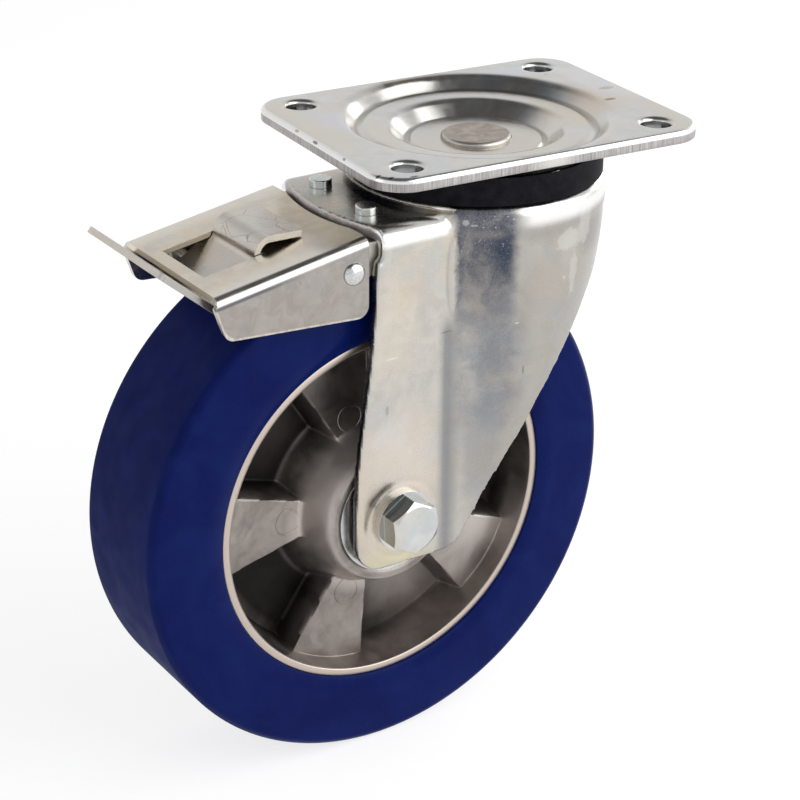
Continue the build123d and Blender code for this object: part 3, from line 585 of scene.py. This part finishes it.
def bolt_more(m, col, rough):
    # painted dark reflections on the head's flats facing up and back; the face keeps the plain zinc colour
    nx, nz, ny = m.fork_normal("X"), m.fork_normal("Z"), m.fork_normal("Y")
    turn = m.math("ADD", m.math("MULTIPLY", nx, -0.62), m.math("MULTIPLY", nz, 0.78))
    px, py, pz = m.split(m.fork)
    head = m.remap(py, -37.7, -38.0)
    up_flat_reflection = m.math("MULTIPLY", m.remap(turn, 0.55, 0.85), m.remap(m.math("ABSOLUTE", ny), 0.75, 0.45))
    up_flat_reflection = m.math("MULTIPLY", up_flat_reflection, head)
    col = m.mix(m.math("MULTIPLY", up_flat_reflection, 0.85), col, (0.075, 0.095, 0.10))
    back_flat_reflection = m.math("MULTIPLY", m.remap(nx, -0.55, -0.8), m.remap(m.math("ABSOLUTE", ny), 0.75, 0.45))
    back_flat_reflection = m.math("MULTIPLY", back_flat_reflection, head)
    col = m.mix(m.math("MULTIPLY", back_flat_reflection, 0.45), col, (0.16, 0.18, 0.175))
    return col, rough


m, col, rough, nrm = zinc("bolt_zinc", (0.64, 0.655, 0.65), (0.53, 0.545, 0.545), (0.62, 0.59, 0.52),
                          (0.52, 0.56, 0.58), 0.13, 0.22, grain=0.5, edge=0.0003, more=bolt_more)
bolt_mat = m.done(col, rough, nrm, metallic=1.0)

m, col, rough, nrm = zinc("rivet_zinc", (0.78, 0.82, 0.80), (0.62, 0.66, 0.64), (0.74, 0.74, 0.68),
                          (0.66, 0.72, 0.74), 0.12, 0.20, grain=1.2, edge=0.0004)
rivet_mat = m.done(col, rough, nrm, metallic=1.0)

m = Mat("kingpin_steel")
v = m.mm
g = m.noise(v, 1.6, 5.0, 0.7)
blot = m.noise(v, 0.16, 4.0, 0.6, 0.8)
kx, ky, kz = m.split(v)
kr = m.math("SQRT", m.math("ADD", m.math("MULTIPLY", kx, kx), m.math("MULTIPLY", ky, ky)))
col = m.mix(m.remap(blot, 0.35, 0.65, smooth=True), (0.36, 0.305, 0.255), (0.50, 0.445, 0.385))
col = m.mix(m.math("MULTIPLY", m.remap(g, 0.55, 0.75), 0.35), col, (0.20, 0.16, 0.13))
col = m.mix(m.math("MULTIPLY", m.remap(kr, 11.9, 12.5, smooth=True), 0.85), col, (0.62, 0.60, 0.57))
kingpin_mat = m.done(col, m.remap(g, 0.3, 0.7, 0.30, 0.46), m.bump(g, 0.16, 0.0002, m.soft_edges(0.0004)),
                     metallic=1.0)

m = Mat("seal_rubber")
v = m.mm
g = m.noise(v, 2.6, 4.0, 0.8)
big = m.noise(v, 0.25, 3.0)
col = m.mix(m.remap(big, 0.35, 0.7), (0.003, 0.0032, 0.005), (0.009, 0.0093, 0.012))
col = m.mix(m.math("MULTIPLY", m.remap(g, 0.60, 0.75), 0.40), col, (0.10, 0.10, 0.11))
seal_mat = m.done(col, m.remap(g, 0.3, 0.7, 0.50, 0.72), m.bump(g, 0.35, 0.0002), metallic=0.0,
                  Specular_IOR_Level=0.07)

m = Mat("pin_steel")
v = m.fork
g = m.noise(v, 1.8, 3.0)
col = m.mix(m.remap(g, 0.35, 0.7), (0.50, 0.505, 0.51), (0.68, 0.68, 0.67))
pin_mat = m.done(col, m.remap(g, 0.3, 0.7, 0.10, 0.22), m.bump(g, 0.06, 0.0001, m.soft_edges(0.0004)),
                 metallic=1.0)

m = Mat("bearing_steel")
v = m.fork
rad = m.radius(v, *AXLE)
lines = m.noise(m.stretch(m.fork, 0.02, 1.0, 0.02), 6.0, 2.0)
col = m.mix(m.remap(lines, 0.4, 0.6), (0.50, 0.50, 0.50), (0.64, 0.635, 0.62))
bearing_mat = m.done(col, m.remap(lines, 0.3, 0.7, 0.18, 0.30), m.bump(lines, 0.05, 0.0001, m.soft_edges(0.0003)),
                     metallic=1.0)

m = Mat("shield_steel")
g = m.noise(m.fork, 1.2, 4.0)
col = m.mix(m.remap(g, 0.35, 0.7), (0.36, 0.36, 0.36), (0.50, 0.50, 0.49))
shield_mat = m.done(col, m.remap(g, 0.3, 0.7, 0.30, 0.45), m.bump(g, 0.08, 0.0001), metallic=1.0)

m = Mat("ball_steel")
g = m.noise(m.fork, 1.0, 2.0)
ball_mat = m.done(m.mix(g, (0.62, 0.62, 0.62), (0.74, 0.74, 0.74)), m.remap(g, 0.3, 0.7, 0.05, 0.10), metallic=1.0)

m, col, rough, nrm = zinc("bracket_zinc", (0.55, 0.54, 0.50), (0.42, 0.42, 0.39), (0.58, 0.52, 0.43),
                          (0.46, 0.48, 0.50), 0.28, 0.42, grain=1.0, edge=0.0003)
bracket_mat = m.done(col, rough, nrm, metallic=1.0)

# die-cast aluminium: painted shade in the recesses, turned ring at the rim
m = Mat("cast_aluminium")
v = m.fork
x, y, z = m.split(v)
rad = m.radius(v, *AXLE)
ay = m.math("ABSOLUTE", y)
cast = m.noise(v, 0.10, 4.0, 0.55, 0.6)
fine = m.noise(v, 1.9, 4.0, 0.7)
flow = m.noise(m.stretch(v, 1.0, 0.5, 1.0), 0.05, 3.0, 0.5, 1.4)
col = m.mix(m.remap(cast, 0.32, 0.68, smooth=True), (0.195, 0.170, 0.157), (0.275, 0.245, 0.226))
col = m.mix(m.math("MULTIPLY", m.remap(flow, 0.46, 0.66, smooth=True), 0.5), col, (0.385, 0.355, 0.335))
# painted shade deep in the pockets, lifted by a painted pool of light low at the front
pocket_shade = m.remap(ay, 4.0, 15.2, 1.0, 0.0, smooth=True)
painted_light_pool = m.blob(v, (-24, 0, -180), (40, 60, 33), 0.3, 1.1)
pocket_shade = m.math("MULTIPLY", pocket_shade, m.remap(rad, 31.5, 40.0))
pocket_shade = m.math("MULTIPLY", pocket_shade, m.remap(rad, 66.0, 60.0, 0.75, 1.0))
pocket_shade = m.math("MULTIPLY", pocket_shade, m.math("SUBTRACT", 1.0, m.math("MULTIPLY", painted_light_pool, 0.75)))
col = m.mix(m.math("MULTIPLY", painted_light_pool, 0.45), col, (0.42, 0.38, 0.355))
col = m.mix(m.math("MULTIPLY", pocket_shade, 0.97), col, (0.005, 0.0045, 0.0045))
# painted shadow round the top spoke
top_spoke_shadow = m.math("MULTIPLY", m.blob(v, (-82, 0, -94), (34, 60, 28), 0.3, 1.1), m.remap(rad, 36.0, 44.0))
col = m.mix(m.math("MULTIPLY", top_spoke_shadow, 0.6), col, (0.06, 0.052, 0.048))
col = m.mix(m.math("MULTIPLY", m.remap(fine, 0.60, 0.76), 0.18), col, (0.14, 0.125, 0.12))
flank = m.math("MULTIPLY", m.remap(rad, 26.0, 28.5), m.remap(rad, 40.0, 34.0))
flank = m.math("MULTIPLY", flank, m.remap(ay, 12.0, 18.0))
col = m.mix(m.math("MULTIPLY", flank, 0.75), col, (0.62, 0.565, 0.53))
# painted light on the spoke in front
front_spoke_light = m.math("MULTIPLY", m.blob(v, (-2, 0, -156), (26, 60, 22), 0.4, 1.1), m.remap(ay, 12.0, 15.0))
col = m.mix(m.math("MULTIPLY", front_spoke_light, 0.6), col, (0.60, 0.55, 0.52))
rough = m.remap(cast, 0.3, 0.7, 0.32, 0.46)
alu_cast = m.done(col, rough, m.bump(fine, 0.10, 0.00015, m.bump(cast, 0.18, 0.0004)), metallic=0.93, Specular_IOR_Level=0.2)

m = Mat("turned_aluminium")
v = m.fork
rad = m.radius(v, *AXLE)
rings = m.noise(m.stretch(m.fork, 0.0, 0.0, 0.0), 1.0)
comb = m.t.nodes.new("ShaderNodeCombineXYZ")
m.link(rad, comb.inputs["X"])
rings = m.noise(comb.outputs[0], 5.0, 3.0, 0.6)
nick = m.noise(v, 0.5, 3.0, 0.7)
col = m.mix(m.remap(rings, 0.35, 0.65), (0.48, 0.405, 0.355), (0.58, 0.505, 0.445))
col = m.mix(m.math("MULTIPLY", m.remap(nick, 0.62, 0.74), 0.5), col, (0.36, 0.30, 0.26))
turned_mat = m.done(col, m.remap(rings, 0.3, 0.7, 0.34, 0.46), m.bump(rings, 0.10, 0.0001), metallic=1.0)

# tyre
m = Mat("tyre_navy")
v = m.fork
haze = m.noise(v, 0.03, 4.0, 0.6, 1.0)
cloud = m.noise(v, 0.12, 3.0, 0.5)
fine = m.noise(v, 2.5, 3.0, 0.6)
col = m.mix(m.remap(haze, 0.35, 0.68, smooth=True), (0.0010, 0.0052, 0.064), (0.0026, 0.0092, 0.082))
rough = m.remap(cloud, 0.3, 0.7, 0.17, 0.30)
tread = m.remap(m.radius(v, *AXLE), 98.6, 99.6)
rough = m.math("ADD", rough, m.math("MULTIPLY", tread, 0.40))
smear = m.noise(m.stretch(v, 0.05, 1.0, 0.05, (0.3, 0, 0.2)), 2.0, 2.0)
tyre_mat = m.done(col, rough, m.bump(fine, 0.03, 0.0001, m.bump(cloud, 0.05, 0.0004)), metallic=0.0,
                  IOR=1.33, Specular_IOR_Level=0.13)

for n, mt in (("top_plate", plate_mat), ("kingpin", kingpin_mat), ("lower_race", bearing_mat),
              ("fork", fork_mat), ("upper_balls", ball_mat), ("lower_balls", ball_mat),
              ("dust_seal", seal_mat), ("brake_carrier", bracket_mat), ("crown_rivets", rivet_mat),
              ("brake_cover", cover_mat), ("cover_pin", pin_mat), ("lever_pin", pin_mat),
              ("foot_lever", lever_mat), ("brake_arm", bracket_mat), ("axle_bolt", bolt_mat),
              ("axle_washers", bolt_mat), ("axle_nut", bolt_mat), ("axle_tube", bearing_mat),
              ("bearing_spacer", bearing_mat), ("side_collars", bearing_mat),
              ("bearing_outer_left", bearing_mat), ("bearing_outer_right", bearing_mat),
              ("bearing_inner_left", bearing_mat), ("bearing_inner_right", bearing_mat),
              ("bearing_balls_left", ball_mat), ("bearing_balls_right", ball_mat),
              ("bearing_shield_left", shield_mat), ("bearing_shield_right", shield_mat),
              ("wheel_centre", alu_cast), ("tyre", tyre_mat)):
    use(n, mt)


# ------------------------------------------------------------------ mesh helpers
def new_object(name, verts, faces, mat, smooth=True):
    me = bpy.data.meshes.new(name)
    me.from_pydata(verts, [], faces)
    me.validate()
    me.update()
    if smooth:
        me.shade_smooth()
    me.materials.append(mat)
    ob = bpy.data.objects.new(name, me)
    scene.collection.objects.link(ob)
    return ob


def wheel_point(r, y, phi):
    return row(AXLE[0] + r * math.cos(phi), y, AXLE[1] + r * math.sin(phi))


def lathe(name, profile, mat, segments=240, sharp=()):
    """Closed ring about the wheel's axis from a closed (radius, y) profile in mm."""
    n = len(profile)
    verts, faces = [], []
    for k in range(segments):
        phi = 2 * math.pi * k / segments
        verts += [wheel_point(r, y, phi) for r, y in profile]
    for k in range(segments):
        a, b = k * n, ((k + 1) % segments) * n
        for i in range(n):
            j = (i + 1) % n
            faces.append((a + i, b + i, b + j, a + j))
    ob = new_object(name, verts, faces, mat)
    fix_normals(ob)
    return ob


def fix_normals(ob):
    bm = bmesh.new()
    bm.from_mesh(ob.data)
    bmesh.ops.recalc_face_normals(bm, faces=bm.faces)
    bm.to_mesh(ob.data)
    bm.free()


def arc(cx, cy, r, a0, a1, n):
    return [(cx + r * math.cos(math.radians(a0 + (a1 - a0) * i / n)),
             cy + r * math.sin(math.radians(a0 + (a1 - a0) * i / n))) for i in range(n + 1)]


def smax(a, b, k):
    h = np.clip(0.5 + 0.5 * (a - b) / k, 0, 1)
    return b + (a - b) * h + k * h * (1 - h)


def smin(a, b, k):
    return -smax(-a, -b, k)


# ------------------------------------------------------------------ wheel casting
SPOKE0, SPOKE_HALF = 34.8, 15.5


def casting_height(r, phi_deg):
    """Distance of the cast surface from the middle plane, in mm, at radius r and angle phi."""
    d = (phi_deg - SPOKE0 + 36.0) % 72.0 - 36.0
    web = 4.5 + 0 * r
    # spoke flank, with draft; its edge lines run out radially
    inside = r * np.sin(np.radians(SPOKE_HALF - np.abs(d)))
    flank = 4.5 + (inside + 1.2) * 4.2
    crown = 16.0 - 0.0045 * (r * np.sin(np.radians(d))) ** 2 * 0.5
    spoke = smin(flank, crown, 1.3)
    rim = 4.5 + (r - 64.9) * 9.0
    hub = smin(4.5 + (37.6 - r) * 2.5, 29.8 + 0 * r, 3.2)
    h = smax(web, spoke, 3.0)
    h = smax(h, rim, 2.0)
    h = smax(h, hub, 3.0)
    return np.clip(h, 4.5, 29.8)


stations = ([23.5, 24.2, 25.2] + list(np.linspace(25.8, 40.0, 34)) +
            list(np.linspace(41.2, 59.0, 14)) +
            list(np.linspace(60.2, 64.5, 7)) + list(np.linspace(65.0, 67.3, 14)))
angles = []
for k in range(5):
    base = SPOKE0 + 72 * k
    local = (list(np.linspace(-36, -20.5, 7)) + list(np.linspace(-19.6, -11.0, 15)) +
             list(np.linspace(-9.5, 9.5, 9)) + list(np.linspace(11.0, 19.6, 15)) +
             list(np.linspace(20.5, 33.5, 6)))
    angles += [base + d for d in local]
rs = np.array(stations)
verts, loops = [], None
for phi_deg in angles:
    phi = math.radians(phi_deg)
    h = casting_height(rs, phi_deg)
    h[rs <= 25.5] = 29.8
    h[0] = 29.3
    h[rs >= 66.9] = np.maximum(h[rs >= 66.9], 22.8)
    h = np.minimum(h, np.where(rs > 60, 24.0, 29.8))
    left = [(r, -v) for r, v in zip(rs, h)]
    right_side = [(r, v) for r, v in zip(rs, h)][::-1]
    loop = (left + [(67.6, -24.0), (69.9, -24.0), (70.2, -23.7), (70.2, 23.7), (69.9, 24.0), (67.6, 24.0)]
            + right_side + [(23.5, 15.5), (20.6, 15.5), (20.6, -15.5), (23.5, -15.5)])
    loops = len(loop)
    verts += [wheel_point(r, y, phi) for r, y in loop]
faces = []
na = len(angles)
for k in range(na):
    a, b = k * loops, ((k + 1) % na) * loops
    for i in range(loops):
        j = (i + 1) % loops
        faces.append((a + i, b + i, b + j, a + j))
casting = new_object("wheel_casting", verts, faces, alu_cast)
fix_normals(casting)
casting.data.set_sharp_from_angle(angle=math.radians(50))
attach(casting, "wheel")
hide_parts("wheel_centre")

# turned ring on each side of the rim
for tag, s in (("left", -1), ("right", 1)):
    prof = [(67.0, 22.0), (67.25, 23.7), (67.5, 24.15), (67.8, 24.25), (69.9, 24.25), (70.25, 24.0),
            (70.28, 22.0)]
    ring = lathe("rim_ring_" + tag, [(r, s * y) for r, y in prof], turned_mat, 300)
    ring.data.set_sharp_from_angle(angle=math.radians(60))
    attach(ring, "wheel")

# ejector marks: a low lip round a shallow disc on each spoke face
for tag, s in (("left", -1), ("right", 1)):
    for k in range(5):
        mid = math.radians(SPOKE0 + 72 * k)
        cx, cz = AXLE[0] + 38.2 * math.cos(mid), AXLE[1] + 38.2 * math.sin(mid)
        prof = [(4.55, 15.3), (4.75, 16.05), (4.95, 16.22), (5.15, 16.2), (5.35, 16.0), (5.5, 15.3)]
        verts, faces = [], []
        seg = 40
        for q in range(seg):
            t = 2 * math.pi * q / seg
            for r, y in prof:
                wob = 1 + 0.02 * math.sin(3 * t + k)
                verts.append(row(cx + r * wob * math.cos(t), s * y, cz + r * wob * math.sin(t)))
        n = len(prof)
        for q in range(seg):
            a, b = q * n, ((q + 1) % seg) * n
            for i in range(n):
                j = (i + 1) % n
                faces.append((a + i, b + i, b + j, a + j))
        mark = new_object("ejector_mark_%s_%d" % (tag, k + 1), verts, faces, alu_cast)
        fix_normals(mark)
        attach(mark, "wheel")

# ------------------------------------------------------------------ tyre
edge_r = 3.4
prof = ([(70.3, -24.6), (70.7, -25.0)] + [(r, -25.0) for r in (78, 88)] +
        arc(100 - edge_r, -25 + edge_r, edge_r, -90, 0, 10) +
        [(100.0, y) for y in (-16, -8, -0.2, 0.2, 8, 16)] +
        arc(100 - edge_r, 25 - edge_r, edge_r, 0, 90, 10) +
        [(r, 25.0) for r in (88, 78)] + [(70.7, 25.0), (70.3, 24.6)])
tyre = lathe("tyre_skin", prof, tyre_mat, 300)
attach(tyre, "wheel")
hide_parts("tyre")

# ------------------------------------------------------------------ cover pin
def turned_piece(name, cx, cz, profile, mat, segments=64):
    """Closed profile (y, r), turned about the line through (cx, cz) along Y."""
    n = len(profile)
    verts = [row(cx + r * math.cos(2 * math.pi * q / segments), y, cz + r * math.sin(2 * math.pi * q / segments))
             for q in range(segments) for y, r in profile]
    faces = []
    for q in range(segments):
        a, b = q * n, ((q + 1) % segments) * n
        for i in range(n - 1):
            faces.append((a + i, b + i, b + i + 1, a + i + 1))
    ob = new_object(name, verts, faces, mat)
    bm = bmesh.new()
    bm.from_mesh(ob.data)
    bmesh.ops.remove_doubles(bm, verts=bm.verts, dist=1e-7)
    bm.to_mesh(ob.data)
    bm.free()
    fix_normals(ob)
    ob.data.set_sharp_from_angle(angle=math.radians(55))
    return ob


dome = []
for q in range(10):
    t = math.radians(78.0 * q / 9)
    dome.append((-34.02 - 2.15 * math.cos(t), 4.2 * math.sin(t) / math.sin(math.radians(78.0))))
pin_profile = dome + [(-34.3, 4.28), (-34.0, 4.28), (-34.0, 2.5), (34.0, 2.5), (34.0, 4.28), (34.3, 4.28)]
pin_profile += [(-y, r) for y, r in dome[::-1]]
pin = turned_piece("cover_pin_domed", -75.4, -36.4, pin_profile, pin_mat)
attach(pin, "fork")
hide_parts("cover_pin")

# ------------------------------------------------------------------ fork
def welded_copy(node, name):
    me = NODES[node].data.copy()
    me.name = name
    bm = bmesh.new()
    bm.from_mesh(me)
    bmesh.ops.remove_doubles(bm, verts=bm.verts, dist=2e-6)
    bm.to_mesh(me)
    bm.free()
    ob = bpy.data.objects.new(name, me)
    scene.collection.objects.link(ob)
    return ob


def voxel_remesh(ob, size):
    md = ob.modifiers.new("voxels", "REMESH")
    md.mode = "VOXEL"
    md.voxel_size = size
    dg = bpy.context.evaluated_depsgraph_get()
    me = bpy.data.meshes.new_from_object(ob.evaluated_get(dg))
    ob.modifiers.clear()
    ob.data = me


def coords(me):
    co = np.zeros(len(me.vertices) * 3)
    me.vertices.foreach_get("co", co)
    return co.reshape(-1, 3)


def relax(co, edges, weight, rounds, lam=0.5, mu=-0.53):
    n = len(co)
    a, b = edges[:, 0], edges[:, 1]
    deg = np.bincount(a, minlength=n) + np.bincount(b, minlength=n)
    deg = np.maximum(deg, 1)[:, None]
    w = weight[:, None]
    for _ in range(rounds):
        for f in (lam, mu) if mu else (lam,):
            s = np.stack([np.bincount(a, co[b, i], n) + np.bincount(b, co[a, i], n)
                          for i in range(3)], 1)
            co = co + f * w * (s / deg - co)
    return co


def to_fork(co):
    """Row metres to fork-frame mm."""
    out = np.empty_like(co)
    out[:, 0] = (co[:, 0] * CS + co[:, 1] * SN) * 1000
    out[:, 1] = (-co[:, 0] * SN + co[:, 1] * CS) * 1000
    out[:, 2] = co[:, 2] * 1000
    return out


fork = welded_copy("fork", "fork_pressing")
voxel_remesh(fork, 0.0009)
me = fork.data
co = coords(me)
ed = np.zeros(len(me.edges) * 2, int)
me.edges.foreach_get("vertices", ed)
ed = ed.reshape(-1, 2)
F = to_fork(co)
w = np.ones(len(co))
co = relax(co, ed, w, 3, 0.5, 0)
wing = ((F[:, 0] > -36) & (F[:, 2] < -27) & (F[:, 2] > -75)).astype(float)
co = relax(co, ed, wing, 25)
me.vertices.foreach_set("co", co.ravel())
me.update()
nrm_v = np.zeros(len(me.vertices) * 3)
me.vertices.foreach_get("normal", nrm_v)
nrm_v = nrm_v.reshape(-1, 3)
n_y = -nrm_v[:, 0] * SN + nrm_v[:, 1] * CS          # across the fork
F = to_fork(co)
side_sign = np.sign(F[:, 1])
outer = np.clip((n_y * side_sign - 0.35) / 0.4, 0, 1) * (np.abs(F[:, 1]) > 32.5)
fx, fz = F[:, 0], F[:, 2]


def ramp(v, a, b):
    t = np.clip((v - a) / (b - a), 0, 1)
    return t * t * (3 - 2 * t)


low = ramp(fz, -60, -72) * ramp(fz, -152, -138)
valley = -0.55 * np.exp(-((fx + 35.6) / 1.5) ** 2) * low
ridge = 0.42 * np.exp(-((fx + 31.6) / 2.0) ** 2) * low
bead = np.sqrt(((fx + 34.0) / 2.1) ** 2 + ((fz + 45.0) / 15.0) ** 2)
bead = 0.75 * ramp(bead, 1.12, 0.72)
ring = np.hypot(fx + 55.0, fz + 138.0)
coin = -0.30 * np.exp(-((ring - 15.2) / 0.9) ** 2)
move = (valley + ridge + bead + coin) * outer * side_sign * MM
co[:, 0] -= move * SN
co[:, 1] += move * CS
me.vertices.foreach_set("co", co.ravel())
me.update()
me.shade_smooth()
me.materials.clear()
me.materials.append(fork_mat)
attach(fork, "fork")
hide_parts("fork")

# ------------------------------------------------------------------ top plate
def rounded_rect_reach(angle, inset):
    """Distance from the centre to the plate's outline, drawn in by inset, in mm."""
    hx, hy, cr = 68.0 - inset, 53.0 - inset, 14.0 - inset
    dx, dy = np.abs(np.cos(angle)), np.abs(np.sin(angle))
    lo, hi = np.zeros_like(angle), np.full_like(angle, 120.0)
    for _ in range(40):
        mid = (lo + hi) / 2
        qx, qy = mid * dx - (hx - cr), mid * dy - (hy - cr)
        d = np.hypot(np.maximum(qx, 0), np.maximum(qy, 0)) + np.minimum(np.maximum(qx, qy), 0) - cr
        lo, hi = np.where(d < 0, mid, lo), np.where(d < 0, hi, mid)
    return lo


def rounded_points(points, step=9.0):
    """Points along lines whose inner corners are rounded, (x, y, radius)."""
    out = [points[0][:2]]
    for before, corner, after in zip(points, points[1:], points[2:]):
        cx, cy, r = corner
        u = np.array(before[:2]) - (cx, cy)
        w2 = np.array(after[:2]) - (cx, cy)
        u, w2 = u / np.linalg.norm(u), w2 / np.linalg.norm(w2)
        half_a = math.acos(float(np.clip(u @ w2, -1, 1))) / 2
        t = r / math.tan(half_a)
        b = (u + w2) / np.linalg.norm(u + w2)
        o = np.array((cx, cy)) + b * r / math.sin(half_a)
        p1, p2 = np.array((cx, cy)) + u * t, np.array((cx, cy)) + w2 * t
        a1 = math.atan2(*(p1 - o)[::-1])
        a2 = math.atan2(*(p2 - o)[::-1])
        turn = (a2 - a1 + math.pi) % (2 * math.pi) - math.pi
        n = max(3, int(abs(math.degrees(turn)) / step) + 1)
        out += [tuple(o + r * np.array((math.cos(a1 + turn * i / n), math.sin(a1 + turn * i / n))))
                for i in range(n + 1)]
    out.append(points[-1][:2])
    return out


disc_z = -9.2
dish = rounded_points([(10.0, disc_z, 0), (24.3, disc_z, 0.9), (25.4, disc_z - 0.8, 0.6),
                       (27.0, disc_z - 0.8, 1.4), (33.0, -4.4, 5.6), (41.6, -4.2, 4.0),
                       (44.7, -5.4, 1.1), (50.0, -0.02, 6.6), (53.6, 0.0, 0)], 7.0)[:-1]
under = [(52.0, -5.0), (50.0, -5.3), (46.2, -9.4), (44.2, -10.0), (43.6, -10.0)]
for q in range(9):          # ball groove
    t = math.radians(180 * q / 8)
    under.append((38.6 + 4.05 * math.cos(t), -10.0 + 4.05 * math.sin(t) * 0.95))
under += [(33.6, -10.0), (32.0, -10.0), (28.5, -13.4), (26.8, -14.0), (10.0, -14.0)]
angle = np.linspace(0, 2 * math.pi, 541)[:-1]
limit = rounded_rect_reach(angle, 1.82)
loops_r, loops_z = [], []
for r, z in dish:
    rr = np.full_like(angle, r)
    if r > 46:
        top = dish[-1][0]
        rr = 46 + (r - 46) * (np.minimum(top, limit - 0.04) - 46) / (top - 46)
    loops_r.append(rr)
    loops_z.append(np.full_like(angle, z))
inner_top = loops_r[-1]
for k in range(1, 5):
    loops_r.append(inner_top + (limit - inner_top) * k / 5)
    loops_z.append(np.zeros_like(angle))
for k in range(8):
    a = math.radians(90 * k / 7)
    loops_r.append(rounded_rect_reach(angle, 1.8 * (1 - math.sin(a))))
    loops_z.append(np.full_like(angle, -1.8 * (1 - math.cos(a))))
for inset, z in ((0.0, -2.4), (0.0, -3.6), (0.0, -4.55), (0.12, -4.85), (0.4, -5.0)):
    loops_r.append(rounded_rect_reach(angle, inset))
    loops_z.append(np.full_like(angle, z))
outer_low = loops_r[-1]
for k in (1, 2, 3):
    start = np.minimum(52.4, outer_low - 0.2)
    loops_r.append(outer_low + (start - outer_low) * k / 3)
    loops_z.append(np.full_like(angle, -5.0))
for r, z in under:
    loops_r.append(np.full_like(angle, min(r, 52.0)))
    loops_z.append(np.full_like(angle, z))
R_, Z_ = np.stack(loops_r, 1), np.stack(loops_z, 1)
cosa, sina = np.cos(angle)[:, None], np.sin(angle)[:, None]
pts = np.stack([R_ * cosa, R_ * sina, Z_], 2).reshape(-1, 3) * MM
na, nl = R_.shape
faces = []
for k in range(na):
    a, b = k * nl, ((k + 1) % na) * nl
    for i in range(nl):
        j = (i + 1) % nl
        faces.append((a + i, b + i, b + j, a + j))
plate = new_object("plate_pressing", pts.tolist(), faces, plate_mat)
fix_normals(plate)

# bolt holes with rolled rims, cut out
rim = [(0.0, -7.0), (5.5, -7.0), (5.5, -1.5)]
rim += [(7.5 - 2.0 * math.sin(math.radians(a)), -1.5 * (1 - math.cos(math.radians(a)))) for a in (78, 66, 54, 42, 30, 18, 8)]
rim += [(7.9, 0.12), (8.6, 0.7), (0.0, 0.7)]
bm = bmesh.new()
seg = 72
for sx, sy in ((-1, -1), (1, -1), (1, 1), (-1, 1)):
    cx, cy = sx * 52.5, sy * 40.0
    rings = []
    for r, z in rim[1:-1]:
        rings.append([bm.verts.new(((cx + r * math.cos(2 * math.pi * q / seg)) * MM,
                                    (cy + r * math.sin(2 * math.pi * q / seg)) * MM, z * MM)) for q in range(seg)])
    for lo_ring, hi_ring in zip(rings, rings[1:]):
        for q in range(seg):
            bm.faces.new((lo_ring[q], lo_ring[(q + 1) % seg], hi_ring[(q + 1) % seg], hi_ring[q]))
    bm.faces.new(rings[0][::-1])
    bm.faces.new(rings[-1])
cut_mesh = bpy.data.meshes.new("hole_cutters")
bm.to_mesh(cut_mesh)
bm.free()
cutter = bpy.data.objects.new("hole_cutters", cut_mesh)
scene.collection.objects.link(cutter)
fix_normals(cutter)
cut = plate.modifiers.new("holes", "BOOLEAN")
cut.operation = "DIFFERENCE"
cut.solver = "EXACT"
cut.object = cutter
new_mesh = bpy.data.meshes.new_from_object(plate.evaluated_get(bpy.context.evaluated_depsgraph_get()))
plate.modifiers.clear()
plate.data = new_mesh
bpy.data.objects.remove(cutter)
plate.data.materials.clear()
plate.data.materials.append(plate_mat)
plate.data.shade_smooth()
plate.data.set_sharp_from_angle(angle=math.radians(38))
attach(plate, "plate")
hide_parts("top_plate")
